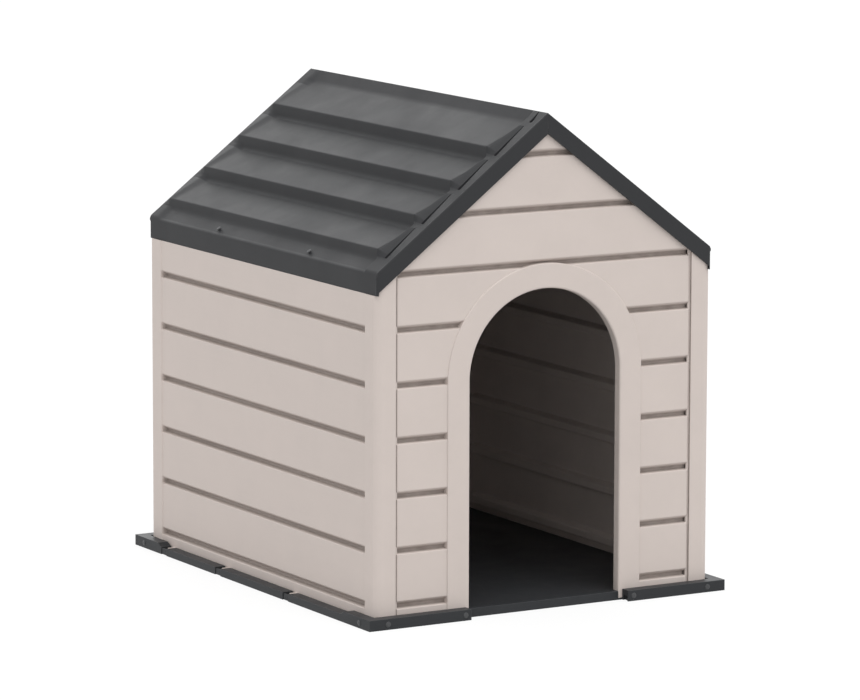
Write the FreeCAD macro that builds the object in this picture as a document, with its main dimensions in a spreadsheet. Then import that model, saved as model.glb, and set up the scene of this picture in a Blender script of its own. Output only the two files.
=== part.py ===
import FreeCAD, Part
import os
import re

import Sketcher

# A flat-pack plastic kennel: a ribbed floor tray, four moulded wall panels and two moulded roof
# halves, held together by channels, hooks, push pegs and roof pins.
#
# Frame: X across the front with + to the right, Y from the doorway to the back, Z up.
# The origin is under the middle of the floor tray, and the underside of the tray is at Z = 0.
# All sizes are in millimetres.

SIZES = {
    # walls
    "wall_width": (606, "outside of the corner posts, left to right"),
    "wall_depth": (750, "outside of the corner posts, front to back"),
    "wall_skin": (3.5, "thickness of the moulded wall panels"),
    "wall_rim": (3, "thickness of the rims and ribs behind a wall panel"),
    "rim_reach": (15, "how far a wall's rim reaches in from the outside of the posts"),
    "panel_recess": (2, "how far the planked panels lie behind the posts and the door trim"),
    "fit_gap": (0.3, "clearance between pieces that fit together"),
    # corner posts
    "post_front": (39, "width of a corner post seen from the front"),
    "post_side_a": (30, "width of a side panel's first post seen from the side"),
    "post_side_b": (42, "width of a side panel's second post seen from the side"),
    "post_radius": (15, "rounding of the corner posts"),
    "post_slope": (2, "length of the step from a post down to the planks"),
    "seam": (2.5, "open joint between an end panel and a post"),
    "tongue_reach": (20, "how far an end panel's tongue runs in behind a post"),
    "tongue_root": (12, "how far the tongue's thicker root runs back along the end panel"),
    "keeper_width": (21, "width of the rib that holds the tongue against the post"),
    # planks
    "plank_pitch": (85, "height of one plank, from groove to groove"),
    "groove_first": (31, "height of the lowest groove"),
    "groove_mouth": (13, "height of a groove at the surface"),
    "groove_floor": (5, "height of a groove at its bottom"),
    "groove_depth": (7, "depth of a groove"),
    # doorway
    "door_half": (135, "half the width of the doorway, and the radius of its arch"),
    "door_top": (502, "height of the top of the arch"),
    "trim_width": (39, "width of the smooth band round the doorway"),
    # roof
    "ridge_height": (773, "height of the ridge"),
    "eave_height": (546, "height of the roof's top surface at the eave"),
    "fascia_height": (35, "height of the eave's upright face"),
    "eave_inset": (3, "from the outside of the posts in to the face of the eave"),
    "eave_radius": (10, "rounding of the eave's upper edge"),
    "corner_radius": (6, "rounding of the roof's upright corners"),
    "roof_skin": (4.5, "thickness of the roof moulding"),
    "fascia_skin": (3.5, "thickness of the eave's fascia"),
    "rake_skin": (3, "thickness of the skirt that hangs over the gable"),
    "rake_drop": (32, "height of that skirt, measured upright"),
    "rake_border": (24, "flat border at each end of the roof"),
    "ridge_joint": (0.3, "hairline between the two roof halves"),
    "course_count": (4, "raised courses on each roof half"),
    "ridge_band": (18, "flat band between the ridge and the top of the first course"),
    "eave_strip": (38.2, "flat strip between the last lip and the eave's edge"),
    "lip_height": (10, "how far a lip stands above the slope"),
    "lip_nose": (2, "upright part of a lip"),
    "course_end_run": (20, "run of the sloping end of a course"),
    "slot_width": (4.5, "widest part of the slot beside a course"),
    "slot_depth": (3, "depth of that slot"),
    "slot_lead": (22, "from the top of a course to the start of its slot"),
    "lap_reach": (14, "how far a roof half's lap runs in under the other half"),
    "lap_skin": (3, "thickness of the lap"),
    "lap_start": (3, "from the middle of the ridge to the near end of the lap"),
    "lap_inset": (30, "from the outside of the posts in to the far end of the lap"),
    "flange_width": (25, "width of the sloping flange on which the roof rests"),
    # floor tray
    "kerb_width": (18.5, "width of the kerb round the walls"),
    "kerb_height": (17, "height of the kerb at the front, the back and the corners"),
    "side_kerb": (12, "height of the kerb along the sides"),
    "pad_length": (90, "length of the higher corners, measured along the side"),
    "pad_slope": (9, "length of the step down from a corner"),
    "tray_skin": (3, "thickness of the tray"),
    "floor_height": (14, "height of the floor inside"),
    "kerb_stop": (7, "from the edge of the doorway to the end of the front kerb"),
    "cells_across": (6, "rib cells under the floor, left to right"),
    "cells_along": (8, "rib cells under the floor, front to back"),
    "notch_width": (18, "width of a notch in the side kerb"),
    "notch_back": (84, "from the rear posts' outside to the left kerb's last notch"),
    "notch_middle": (102, "from the middle of the tray back to its second notch"),
    "notch_front": (250, "from the front posts' outside to its first notch"),
    "tab_width": (12, "width of the wall's tab in a notch"),
    "tab_height": (7, "height of that tab"),
    "tab_reach": (8, "how far the tab stands out from the posts' outside"),
    # pegs and pins
    "peg_height": (8.5, "height of the pegs' axes"),
    "peg_head": (9, "diameter of a peg's head"),
    "peg_head_rise": (1.5, "height of a peg's head"),
    "peg_shank": (5, "diameter of a peg's shank"),
    "peg_length": (25, "length of a peg's shank"),
    "peg_door_gap": (17, "from the doorway's edge to the peg beside it"),
    "peg_inset": (14, "from the outside of the posts in to a peg's axis"),
    "peg_boss": (12, "width of the solid block round a peg's hole in the kerb"),
    "shank_web": (2, "thickness of the crossed webs of a peg's or pin's shank"),
    "pin_head": (8, "diameter of a roof pin's head"),
    "pin_head_rise": (1.2, "height of a roof pin's head"),
    "pin_shank": (5, "diameter of a roof pin's shank"),
    "pin_length": (14, "length of a roof pin's shank"),
    "pin_spread": (150, "from the middle of the eave to each roof pin"),
    "pin_inset": (10, "from the eave's edge up the slope to the roof pins"),
    # modelling
    "overrun": (5, "how far a cut runs past the material"),
}

# Sizes that follow from the ones above, as formulas.
WALL_X = "(wall_width / 2)"
WALL_Y = "(wall_depth / 2)"
TRAY_X = "(wall_width / 2 + kerb_width)"
TRAY_Y = "(wall_depth / 2 + kerb_width)"
FACE_X = "(wall_width / 2 - panel_recess)"
FACE_Y = "(wall_depth / 2 - panel_recess)"
PANEL_X = "(wall_width / 2 - post_front - seam / 2)"
POST_X = "(wall_width / 2 - post_front + seam / 2)"
CHANNEL = "(rim_reach + fit_gap)"
KEEPER_Y = "(wall_depth / 2 - 2 * wall_skin - 2 * fit_gap)"
TRIM_X = "(door_half + trim_width)"
ARCH_Z = "(door_top - door_half)"
EAVE_REACH = "(wall_width / 2 - eave_inset)"
EAVE_BOTTOM = "(eave_height - fascia_height)"
SLOPE_TAN = "((ridge_height - eave_height) / " + EAVE_REACH + ")"
SLOPE_COS = "(1 / sqrt(1 + " + SLOPE_TAN + " ^ 2))"
SLOPE_SIN = "(" + SLOPE_TAN + " * " + SLOPE_COS + ")"
SLOPE_ANGLE = "atan(" + SLOPE_TAN + ")"
SLOPE_LENGTH = "(" + EAVE_REACH + " / " + SLOPE_COS + ")"
EAVE_TANGENT = "(eave_radius * (1 - " + SLOPE_SIN + ") / " + SLOPE_COS + ")"
RAKE_Y = "(wall_depth / 2 + fit_gap + rake_skin)"
LEDGE_X = "(" + EAVE_REACH + " - fascia_skin - fit_gap)"
COURSE_PITCH = "((" + SLOPE_LENGTH + " - ridge_band - eave_strip) / course_count)"
COURSE_LIP = "(ridge_band + " + COURSE_PITCH + ")"
PEG_DOOR = "(door_half + peg_door_gap)"
PEG_CORNER = "(wall_width / 2 - peg_inset)"
PEG_SIDE = "(wall_depth / 2 - peg_inset)"
NOTCHES = ("(wall_depth / 2 - notch_back)", "notch_middle", "(notch_front - wall_depth / 2)")
# Numbers of grooves: up to the ledge of a side panel, beside the doorway and up to the ridge.
SIDE_GROOVES = "(floor((" + EAVE_BOTTOM + " - groove_first - groove_mouth) / plank_pitch) + 1)"
DOOR_GROOVES = ("(floor((door_top + trim_width - groove_first - groove_floor / 2) / plank_pitch)"
                " + 1)")
ALL_GROOVES = ("(floor((ridge_height - 2 * roof_skin - groove_first - groove_mouth) / plank_pitch)"
               " + 1)")


def formula(text):
    """The text of a formula with each size's name pointing at its cell in the sheet."""
    return re.sub(r"[a-z_]+", lambda word: "Sizes." + word.group() if word.group() in SIZES
                  else word.group(), str(text))


def value(text):
    """The number that a formula gives with the sheet's present sizes."""
    result = sheet.evalExpression(formula(text))
    return float(getattr(result, "Value", result))


def bind(item, name, text):
    """Tie a property of an object to a formula."""
    item.setExpression(name, formula(text))


def add_sheet(doc):
    """The spreadsheet of driving sizes: name, size and meaning."""
    table = doc.addObject("Spreadsheet::Sheet", "Sizes")
    for row, (name, (size, meaning)) in enumerate(SIZES.items(), start=1):
        table.set("A" + str(row), name)
        table.set("B" + str(row), str(size))
        table.set("C" + str(row), meaning)
        table.setAlias("B" + str(row), name)
    doc.recompute()
    return table


def new_body(doc, name):
    body = doc.addObject("PartDesign::Body", name)
    body.Label = name
    return body


def origin_of(body, role):
    """One of the body's own origin planes or axes."""
    return [item for item in body.Origin.OriginFeatures if item.Role == role][0]


def new_sketch(body, name, plane, place, tilt=None):
    """A sketch on an origin plane, moved to a place on that plane's axis or tilted about Y."""
    sketch = body.newObject("Sketcher::SketchObject", name + "_sketch")
    sketch.AttachmentSupport = [(origin_of(body, plane + "_Plane"), "")]
    sketch.MapMode = "FlatFace"
    # the sketch plane XZ looks along -Y, so its offset is counted the other way
    offset = "-(" + place + ")" if plane == "XZ" else place
    if tilt:
        sketch.AttachmentOffset = FreeCAD.Placement(
            FreeCAD.Vector(), FreeCAD.Rotation(FreeCAD.Vector(0, 1, 0), value(tilt)))
        bind(sketch, ".AttachmentOffset.Rotation.Angle", tilt)
    bind(sketch, ".AttachmentOffset.Base.z", offset)
    return sketch


def fix_point(sketch, edge, end, across, up):
    """Hold one end of an edge at the place that two formulas give."""
    for kind, text in (("DistanceX", across), ("DistanceY", up)):
        rule = Sketcher.Constraint(kind, -1, 1, edge, end, value(text))
        index = sketch.addConstraint(rule)
        bind(sketch, "Constraints[%d]" % index, text)


def draw_outline(sketch, corners):
    """A closed outline. Each corner is (across, up), or (across, up, radius, side) where an arc of
    that radius leads to the next corner; side is 1 for a left turn and -1 for a right turn."""
    first = sketch.GeometryCount
    starts, ends = [], []
    points = [FreeCAD.Vector(value(corner[0]), value(corner[1]), 0) for corner in corners]
    for index, corner in enumerate(corners):
        start, end = points[index], points[(index + 1) % len(points)]
        if len(corner) == 2:
            sketch.addGeometry(Part.LineSegment(start, end), False)
            starts.append(1)
            ends.append(2)
            continue
        radius, side = value(corner[2]), corner[3]
        half = (end - start) * 0.5
        aside = FreeCAD.Vector(-half.y, half.x, 0).normalize() * side
        rise = max(radius ** 2 - half.Length ** 2, 0) ** 0.5
        centre = start + half + aside * rise
        middle = centre - aside * radius
        low, high = (start, end) if side > 0 else (end, start)
        sketch.addGeometry(Part.Arc(low, middle, high), False)
        starts.append(1 if side > 0 else 2)
        ends.append(2 if side > 0 else 1)
    for index, corner in enumerate(corners):
        after = (index + 1) % len(corners)
        sketch.addConstraint(Sketcher.Constraint(
            "Coincident", first + index, ends[index], first + after, starts[after]))
        fix_point(sketch, first + index, starts[index], corner[0], corner[1])
        if len(corner) == 4:
            rule = Sketcher.Constraint("Radius", first + index, value(corner[2]))
            bind(sketch, "Constraints[%d]" % sketch.addConstraint(rule), corner[2])


def draw_circle(sketch, across, up, diameter):
    centre = FreeCAD.Vector(value(across), value(up), 0)
    edge = sketch.addGeometry(
        Part.Circle(centre, FreeCAD.Vector(0, 0, 1), value(diameter) / 2), False)
    fix_point(sketch, edge, 3, across, up)
    rule = Sketcher.Constraint("Diameter", edge, value(diameter))
    bind(sketch, "Constraints[%d]" % sketch.addConstraint(rule), diameter)


def draw(sketch, shapes):
    """Shapes are outlines, as lists of corners, and circles, as (across, up, diameter)."""
    for shape in shapes:
        if isinstance(shape, list):
            draw_outline(sketch, shape)
        else:
            draw_circle(sketch, *shape)


def rectangle(left, low, right, high):
    return [(left, low), (right, low), (right, high), (left, high)]


def add(body, name, plane, low, high, shapes, tilt=None):
    """Material between two places on the plane's axis."""
    sketch = new_sketch(body, name, plane, high if plane == "XZ" else low, tilt)
    draw(sketch, shapes)
    pad = body.newObject("PartDesign::Pad", name)
    pad.Profile = sketch
    bind(pad, "Length", "(" + high + ") - (" + low + ")")
    body.Document.recompute()
    return pad


def cut(body, name, plane, low, high, shapes, tilt=None):
    """Material taken away between two places on the plane's axis."""
    before = body.Shape.Volume
    sketch = new_sketch(body, name, plane, low if plane == "XZ" else high, tilt)
    draw(sketch, shapes)
    pocket = body.newObject("PartDesign::Pocket", name)
    pocket.Profile = sketch
    bind(pocket, "Length", "(" + high + ") - (" + low + ")")
    body.Document.recompute()
    if body.Shape.Volume >= before:
        raise RuntimeError(body.Label + ": " + name + " takes nothing away")
    return pocket


def repeat(body, feature, axis, pitch, count):
    """Copies of a feature along one of the body's axes, the feature itself included."""
    pattern = body.newObject("PartDesign::LinearPattern", feature.Name + "_row")
    pattern.Originals = [feature]
    pattern.Direction = (origin_of(body, axis + "_Axis"), [""])
    bind(pattern, "Length", "(" + pitch + ") * (" + count + " - 1)")
    bind(pattern, "Occurrences", count)
    body.Tip = pattern
    body.Document.recompute()
    return pattern


def mirror(body, features, plane):
    """The mirror image of features in one of the body's planes, added to them."""
    image = body.newObject("PartDesign::Mirrored", features[0].Name + "_mirrored")
    image.Originals = features
    image.MirrorPlane = (origin_of(body, plane + "_Plane"), [""])
    body.Tip = image
    body.Document.recompute()
    return image


def turn_round(item):
    """Turn a piece half round about the Z axis."""
    half_turn = FreeCAD.Rotation(FreeCAD.Vector(0, 0, 1), 180)
    item.Placement = FreeCAD.Placement(FreeCAD.Vector(), half_turn) * item.Placement


def second_of(doc, first, name):
    """The second piece from the same mould: the first one turned half round."""
    copy = doc.addObject("Part::Compound", name)
    copy.Label = name
    copy.Links = [first]
    turn_round(copy)
    return copy


def under_roof(across):
    """Height of the highest point that a wall may have under the roof, at a distance from X = 0."""
    return ("(ridge_height - (" + across + ") * " + SLOPE_TAN
            + " - (roof_skin + fit_gap) / " + SLOPE_COS + ")")


# ---------------------------------------------------------------- floor tray

def make_base_tray(doc):
    """Tray with a kerb round the walls, a channel in which they stand and ribs underneath."""
    body = new_body(doc, "base_tray")
    floor_x = "(" + WALL_X + " - " + CHANNEL + ")"
    floor_y = "(" + WALL_Y + " - " + CHANNEL + ")"
    low_y = "(" + TRAY_Y + " - pad_length)"
    add(body, "tray_kerb", "XY", "0", "kerb_height",
        [rectangle("-" + TRAY_X, "-" + TRAY_Y, TRAY_X, TRAY_Y)])
    cut(body, "tray_low_sides", "YZ", "-" + TRAY_X + " - overrun", TRAY_X + " + overrun",
        [[("-" + low_y, "side_kerb"), (low_y, "side_kerb"),
          (low_y + " + pad_slope", "kerb_height"), (low_y + " + pad_slope", "kerb_height + overrun"),
          ("-" + low_y + " - pad_slope", "kerb_height + overrun"),
          ("-" + low_y + " - pad_slope", "kerb_height")]])
    well_x = WALL_X + " + fit_gap"
    well_y = WALL_Y + " + fit_gap"
    cut(body, "tray_well", "XY", "tray_skin", "kerb_height + overrun",
        [rectangle("-(" + well_x + ")", "-(" + well_y + ")", well_x, well_y)])
    add(body, "tray_floor", "XY", "tray_skin", "floor_height",
        [rectangle("-" + floor_x, "-" + floor_y, floor_x, floor_y)])
    cut_tray_doorway(body, floor_y)
    hollow_tray(body, floor_x, floor_y)
    add_peg_bosses(body)
    cut_tray_holes(body)
    return body


def cut_tray_doorway(body, floor_y):
    """The front kerb stops at the doorway, and the floor runs forward between the jambs."""
    cut(body, "tray_doorway", "XY", "-overrun", "kerb_height + overrun",
        [rectangle("-(door_half + kerb_stop)", "-" + TRAY_Y + " - overrun",
                   "door_half + kerb_stop", "-" + WALL_Y)])
    add(body, "tray_sill", "XY", "0", "floor_height",
        [rectangle("-(door_half - fit_gap)", "-" + WALL_Y, "door_half - fit_gap", "-" + floor_y)])


def hollow_tray(body, floor_x, floor_y):
    """The underside: open below the floor and the kerb, with crossing ribs under the floor."""
    inner_x = "(" + floor_x + " - tray_skin)"
    inner_y = "(" + floor_y + " - tray_skin)"
    ceiling = "floor_height - tray_skin"
    cut(body, "tray_under_floor", "XY", "-overrun", ceiling,
        [rectangle("-" + inner_x, "-" + inner_y, inner_x, inner_y)])
    step_x = "(2 * " + inner_x + " / cells_across)"
    step_y = "(2 * " + inner_y + " / cells_along)"
    along = add(body, "tray_rib_along", "XY", "0", ceiling,
                [rectangle("-" + inner_x + " + " + step_x + " - tray_skin / 2", "-" + inner_y,
                           "-" + inner_x + " + " + step_x + " + tray_skin / 2", inner_y)])
    repeat(body, along, "X", step_x, "(cells_across - 1)")
    across = add(body, "tray_rib_across", "XY", "0", ceiling,
                 [rectangle("-" + inner_x, "-" + inner_y + " + " + step_y + " - tray_skin / 2",
                            inner_x, "-" + inner_y + " + " + step_y + " + tray_skin / 2")])
    repeat(body, across, "Y", step_y, "(cells_along - 1)")
    outer_x = TRAY_X + " - tray_skin"
    outer_y = TRAY_Y + " - tray_skin"
    near_x = WALL_X + " + fit_gap + tray_skin"
    near_y = WALL_Y + " + fit_gap + tray_skin"
    cut(body, "tray_under_kerb", "XY", "-overrun", "side_kerb - tray_skin",
        [rectangle("-(" + outer_x + ")", "-(" + outer_y + ")", outer_x, outer_y),
         rectangle("-(" + near_x + ")", "-(" + near_y + ")", near_x, near_y)])


def add_peg_bosses(body):
    """Solid blocks in the hollow kerb, through which the pegs' holes pass."""
    half, height = "peg_boss / 2", "side_kerb - tray_skin / 2"
    ends = [rectangle(place + " - " + half, "-(" + TRAY_Y + " - tray_skin / 2)",
                      place + " + " + half, "-(" + WALL_Y + " + fit_gap)")
            for place in ("-" + PEG_CORNER, "-" + PEG_DOOR, PEG_DOOR, PEG_CORNER)]
    front = add(body, "tray_end_bosses", "XY", "0", height, ends)
    mirror(body, [front], "XZ")
    sides = [rectangle(WALL_X + " + fit_gap", place + " - " + half,
                       TRAY_X + " - tray_skin / 2", place + " + " + half)
             for place in ("-" + PEG_SIDE, PEG_SIDE)]
    right = add(body, "tray_side_bosses", "XY", "0", height, sides)
    mirror(body, [right], "YZ")


def cut_tray_holes(body):
    """Notches in the side kerbs for the walls' tabs, and the holes for the pegs."""
    outer, inner = "(" + TRAY_X + " + overrun)", "(" + WALL_X + " + fit_gap)"
    notches = []
    for place in NOTCHES:
        notches.append(rectangle("-" + outer, place + " - notch_width / 2",
                                 "-" + inner, place + " + notch_width / 2"))
        notches.append(rectangle(inner, "-" + place + " - notch_width / 2",
                                 outer, "-" + place + " + notch_width / 2"))
    cut(body, "tray_notches", "XY", "-overrun", "kerb_height + overrun", notches)
    bore = "peg_shank + 2 * fit_gap"
    ends = [(sign + place, "peg_height", bore) for place in (PEG_CORNER, PEG_DOOR)
            for sign in ("-", "")]
    front = cut(body, "tray_front_holes", "XZ", "-" + TRAY_Y + " - overrun", "-" + WALL_Y, ends)
    mirror(body, [front], "XZ")
    sides = [("-" + PEG_SIDE, "peg_height", bore), (PEG_SIDE, "peg_height", bore)]
    right = cut(body, "tray_side_holes", "YZ", WALL_X, TRAY_X + " + overrun", sides)
    mirror(body, [right], "YZ")


# ---------------------------------------------------------------- walls

def plank_section(face, inward, middle):
    """Outlines of one groove and of the rib that it makes behind the panel. The face is the
    panel's outside, inward is 1 or -1, and middle is the groove's height."""
    step = " + " if inward > 0 else " - "
    out = face + (" - " if inward > 0 else " + ") + "overrun"
    floor = face + step + "groove_depth"
    groove = [(out, middle + " - groove_mouth / 2"), (face, middle + " - groove_mouth / 2"),
              (floor, middle + " - groove_floor / 2"), (floor, middle + " + groove_floor / 2"),
              (face, middle + " + groove_mouth / 2"), (out, middle + " + groove_mouth / 2")]
    root = face + step + "wall_skin / 2"
    back = face + step + "(groove_depth + wall_skin)"
    mouth = "(groove_mouth / 2 + wall_skin)"
    crest = "(groove_floor / 2 + wall_skin / 2)"
    rib = [(root, middle + " - " + mouth), (back, middle + " - " + crest),
           (back, middle + " + " + crest), (root, middle + " + " + mouth)]
    return groove, rib


def roof_line(reach):
    """Outline of all that lies above the walls' upper edge, from the ridge's plane to a reach."""
    high = "ridge_height + overrun"
    return [("-(" + reach + ")", under_roof(reach)), ("0", under_roof("0")),
            (reach, under_roof(reach)), (reach, high), ("-(" + reach + ")", high)]


def make_side_wall(doc, name):
    """Left side panel with a corner post at each end. Turned half round it is the right one."""
    body = new_body(doc, name)
    front = "-" + WALL_Y
    start = front + " + post_side_a"
    end = WALL_Y + " - post_side_b"
    face = "-" + FACE_X
    add(body, name + "_skin", "XY", "tray_skin", EAVE_BOTTOM,
        [rectangle(face, start + " - wall_skin", face + " + wall_skin", end + " + wall_skin")])
    add(body, name + "_foot", "XY", "tray_skin", "tray_skin + wall_rim",
        [rectangle(face, start, "-" + WALL_X + " + rim_reach", end)])
    add(body, name + "_posts", "XY", "tray_skin", "ridge_height",
        [post_section("-" + WALL_Y, 1, start), post_section(WALL_Y, -1, end)])
    add_keepers(body, name)
    add_roof_ledge(body, name)
    cut_wall_top(body, name)
    groove, rib = plank_section(face, 1, "groove_first")
    ribs = add(body, name + "_rib", "XZ", start + " - wall_skin", end + " + wall_skin", [rib])
    repeat(body, ribs, "Z", "plank_pitch", SIDE_GROOVES)
    grooves = cut(body, name + "_groove", "XZ", start, end, [groove])
    repeat(body, grooves, "Z", "plank_pitch", SIDE_GROOVES)
    add(body, name + "_tabs", "XY", "tray_skin", "tray_skin + tab_height",
        [rectangle("-(" + WALL_X + " + tab_reach)", place + " - tab_width / 2",
                   face + " + wall_skin / 2", place + " + tab_width / 2")
         for place in NOTCHES])
    cut_side_wall_holes(body, name)
    return body


def post_section(corner, way, edge):
    """Plan of one corner post: an angle with a rounded corner. The corner is at the left, at the
    place where the post ends, way is 1 where the post runs towards the back, and edge is where
    the planks begin."""
    turn = -1 if way > 0 else 1
    to = " + " if way > 0 else " - "
    x_out, x_in = "-" + WALL_X, "-" + WALL_X + " + wall_skin"
    inner_radius = "(post_radius - wall_skin)"
    round_x = "-" + WALL_X + " + post_radius"
    round_y = corner + to + "post_radius"
    leg = "-" + POST_X
    return [(leg, corner), (round_x, corner, "post_radius", turn), (x_out, round_y),
            (x_out, edge), ("-" + FACE_X, edge + to + "post_slope"),
            ("-" + FACE_X + " + wall_skin", edge + to + "post_slope"),
            (x_in, edge), (x_in, round_y, inner_radius, -turn),
            (round_x, corner + to + "wall_skin"), (leg, corner + to + "wall_skin")]


def add_keepers(body, name):
    """Ribs behind the posts' faces that leave a channel for the end panels' tongues."""
    far = "-" + WALL_X + " + wall_skin + keeper_width"
    near = "-" + WALL_X + " + wall_skin"
    outside, inside = KEEPER_Y, "(" + KEEPER_Y + " - wall_rim)"
    add(body, name + "_keepers", "XY", "tray_skin", "ridge_height",
        [rectangle(near, "-" + outside, far, "-" + inside),
         rectangle(near, inside, far, outside)])


def add_roof_ledge(body, name):
    """Ledge under the eave's fascia, upstand behind it and sloping flange that carries the roof."""
    inner = "(" + LEDGE_X + " - wall_skin)"
    tip = "(" + LEDGE_X + " - flange_width)"
    drop = " - wall_skin / " + SLOPE_COS
    end = "(" + KEEPER_Y + " - wall_rim)"
    add(body, name + "_ledge", "XZ", "-" + end, end,
        [[("-" + FACE_X, EAVE_BOTTOM + " - wall_skin"), ("-" + FACE_X, EAVE_BOTTOM),
          ("-" + LEDGE_X, EAVE_BOTTOM), ("-" + LEDGE_X, under_roof(LEDGE_X)),
          ("-" + tip, under_roof(tip)), ("-" + tip, under_roof(tip) + drop),
          ("-" + inner, under_roof(inner) + drop), ("-" + inner, EAVE_BOTTOM + " - wall_skin")]])


def cut_wall_top(body, name):
    """Trim the posts and keepers to the fascia's lower edge and to the roof's underside."""
    out = "-(" + WALL_X + " + overrun)"
    inner = "(" + WALL_X + " - 2 * post_front)"
    high = "ridge_height + overrun"
    end = WALL_Y + " + overrun"
    cut(body, name + "_top", "XZ", "-(" + end + ")", end,
        [[(out, EAVE_BOTTOM), ("-" + LEDGE_X, EAVE_BOTTOM), ("-" + LEDGE_X, under_roof(LEDGE_X)),
          ("-" + inner, under_roof(inner)), ("-" + inner, high), (out, high)]])


def cut_side_wall_holes(body, name):
    """Holes for the pegs in the posts and for the roof pins in the sloping flange."""
    bore = "peg_shank + 2 * fit_gap"
    cut(body, name + "_side_holes", "YZ", "-" + WALL_X + " - overrun",
        "-" + WALL_X + " + 2 * wall_skin",
        [("-" + PEG_SIDE, "peg_height", bore), (PEG_SIDE, "peg_height", bore)])
    cut(body, name + "_end_holes", "XZ", "-" + WALL_Y + " - overrun",
        "-" + WALL_Y + " + wall_skin + fit_gap", [("-" + PEG_CORNER, "peg_height", bore)])
    cut(body, name + "_far_holes", "XZ", WALL_Y + " - wall_skin - fit_gap",
        WALL_Y + " + overrun", [("-" + PEG_CORNER, "peg_height", bore)])
    pin_x = "-(" + SLOPE_LENGTH + " - pin_inset)"
    pin_bore = "pin_shank + 2 * fit_gap"
    cut(body, name + "_pin_holes", "XY", "ridge_height - pin_length - overrun", "ridge_height",
        [(pin_x, "-pin_spread", pin_bore), (pin_x, "pin_spread", pin_bore)],
        tilt="-" + SLOPE_ANGLE)


def arch(half, foot):
    """Half of an upright arch's outline, from its left foot over the top to its right foot."""
    return [("-(" + half + ")", foot), ("-(" + half + ")", ARCH_Z, half, -1),
            ("0", ARCH_Z + " + " + half, half, -1), (half, ARCH_Z), (half, foot)]


def ring(outer, inner, foot):
    """Outline of an arched band between an outer and an inner half width."""
    inside = [(inner, foot), (inner, ARCH_Z, inner, 1), ("0", ARCH_Z + " + " + inner, inner, 1),
              ("-(" + inner + ")", ARCH_Z), ("-(" + inner + ")", foot)]
    return arch(outer, foot) + inside


def make_end_wall(doc, name, doorway):
    """Gabled end panel with tongues that slide in behind the posts, with or without a doorway."""
    body = new_body(doc, name)
    face, back = "-" + FACE_Y, "-" + FACE_Y + " + wall_skin"
    rim = "-" + WALL_Y + " + rim_reach"
    foot = "tray_skin"
    add(body, name + "_skin", "XZ", face, back, [gable_outline(PANEL_X, foot)])
    tongue_y = "-" + WALL_Y + " + wall_skin + fit_gap"
    root, tip = "(" + PANEL_X + " - tongue_root)", "(" + PANEL_X + " + tongue_reach)"
    for side, sign in (("left", "-"), ("right", "")):
        add(body, name + "_tongue_" + side, "XZ", tongue_y, tongue_y + " + wall_skin",
            [[(sign + root, foot), (sign + tip, foot), (sign + tip, under_roof(tip)),
              (sign + root, under_roof(root))]])
    drop = " - wall_rim / " + SLOPE_COS
    add(body, name + "_gable_rim", "XZ", face, rim,
        [[("-" + PANEL_X, under_roof(PANEL_X) + drop), ("0", under_roof("0") + drop),
          (PANEL_X, under_roof(PANEL_X) + drop), (PANEL_X, under_roof(PANEL_X)),
          ("0", under_roof("0")), ("-" + PANEL_X, under_roof(PANEL_X))]])
    add(body, name + "_foot", "XZ", face, rim,
        [rectangle("-" + PANEL_X, foot, PANEL_X, foot + " + wall_rim")])
    if doorway:
        add_door_trim(body, name, foot)
        add_planks(body, name + "_left", "-" + PANEL_X, "-" + TRIM_X, "groove_first", DOOR_GROOVES)
        add_planks(body, name + "_right", TRIM_X, PANEL_X, "groove_first", DOOR_GROOVES)
        add_planks(body, name + "_gable", "-" + PANEL_X, PANEL_X,
                   "groove_first + " + DOOR_GROOVES + " * plank_pitch",
                   "(" + ALL_GROOVES + " - " + DOOR_GROOVES + ")")
        cut(body, name + "_doorway", "XZ", "-" + WALL_Y + " - overrun", rim + " + overrun",
            [arch("door_half", "-overrun")])
    else:
        add_planks(body, name + "_full", "-" + PANEL_X, PANEL_X, "groove_first", ALL_GROOVES)
    cut(body, name + "_top", "XZ", "-" + WALL_Y + " - overrun", rim + " + overrun",
        [roof_line(WALL_X)])
    bore = "peg_shank + 2 * fit_gap"
    cut(body, name + "_peg_holes", "XZ", "-" + WALL_Y + " - overrun", back + " + fit_gap",
        [("-" + PEG_DOOR, "peg_height", bore), (PEG_DOOR, "peg_height", bore)])
    return body


def gable_outline(half, foot):
    return [("-" + half, foot), (half, foot), (half, under_roof(half)),
            ("0", under_roof("0")), ("-" + half, under_roof(half))]


def add_door_trim(body, name, foot):
    """Smooth raised band round the doorway, and the jamb that turns in round the opening."""
    add(body, name + "_trim", "XZ", "-" + WALL_Y, "-" + FACE_Y + " + wall_skin",
        [ring(TRIM_X, "(door_half - wall_skin)", foot)])
    add(body, name + "_jamb", "XZ", "-" + WALL_Y, "-" + WALL_Y + " + rim_reach",
        [ring("(door_half + wall_skin)", "(door_half - wall_skin)", foot)])


def add_planks(body, name, left, right, lowest, count):
    """A row of grooves with their ribs across an end panel, between two places."""
    groove, rib = plank_section("-" + FACE_Y, 1, lowest)
    ribs = add(body, name + "_rib", "YZ", left, right, [rib])
    repeat(body, ribs, "Z", "plank_pitch", count)
    grooves = cut(body, name + "_groove", "YZ", left, right, [groove])
    repeat(body, grooves, "Z", "plank_pitch", count)


# ---------------------------------------------------------------- roof

def slope_frame(body):
    """Put a body in the right slope's frame: X down the slope from the ridge, Z square to it."""
    tilt = FreeCAD.Rotation(FreeCAD.Vector(0, 1, 0), value(SLOPE_ANGLE))
    body.Placement = FreeCAD.Placement(FreeCAD.Vector(0, 0, value("ridge_height")), tilt)
    bind(body, ".Placement.Base.z", "ridge_height")
    bind(body, ".Placement.Rotation.Angle", SLOPE_ANGLE)


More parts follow.
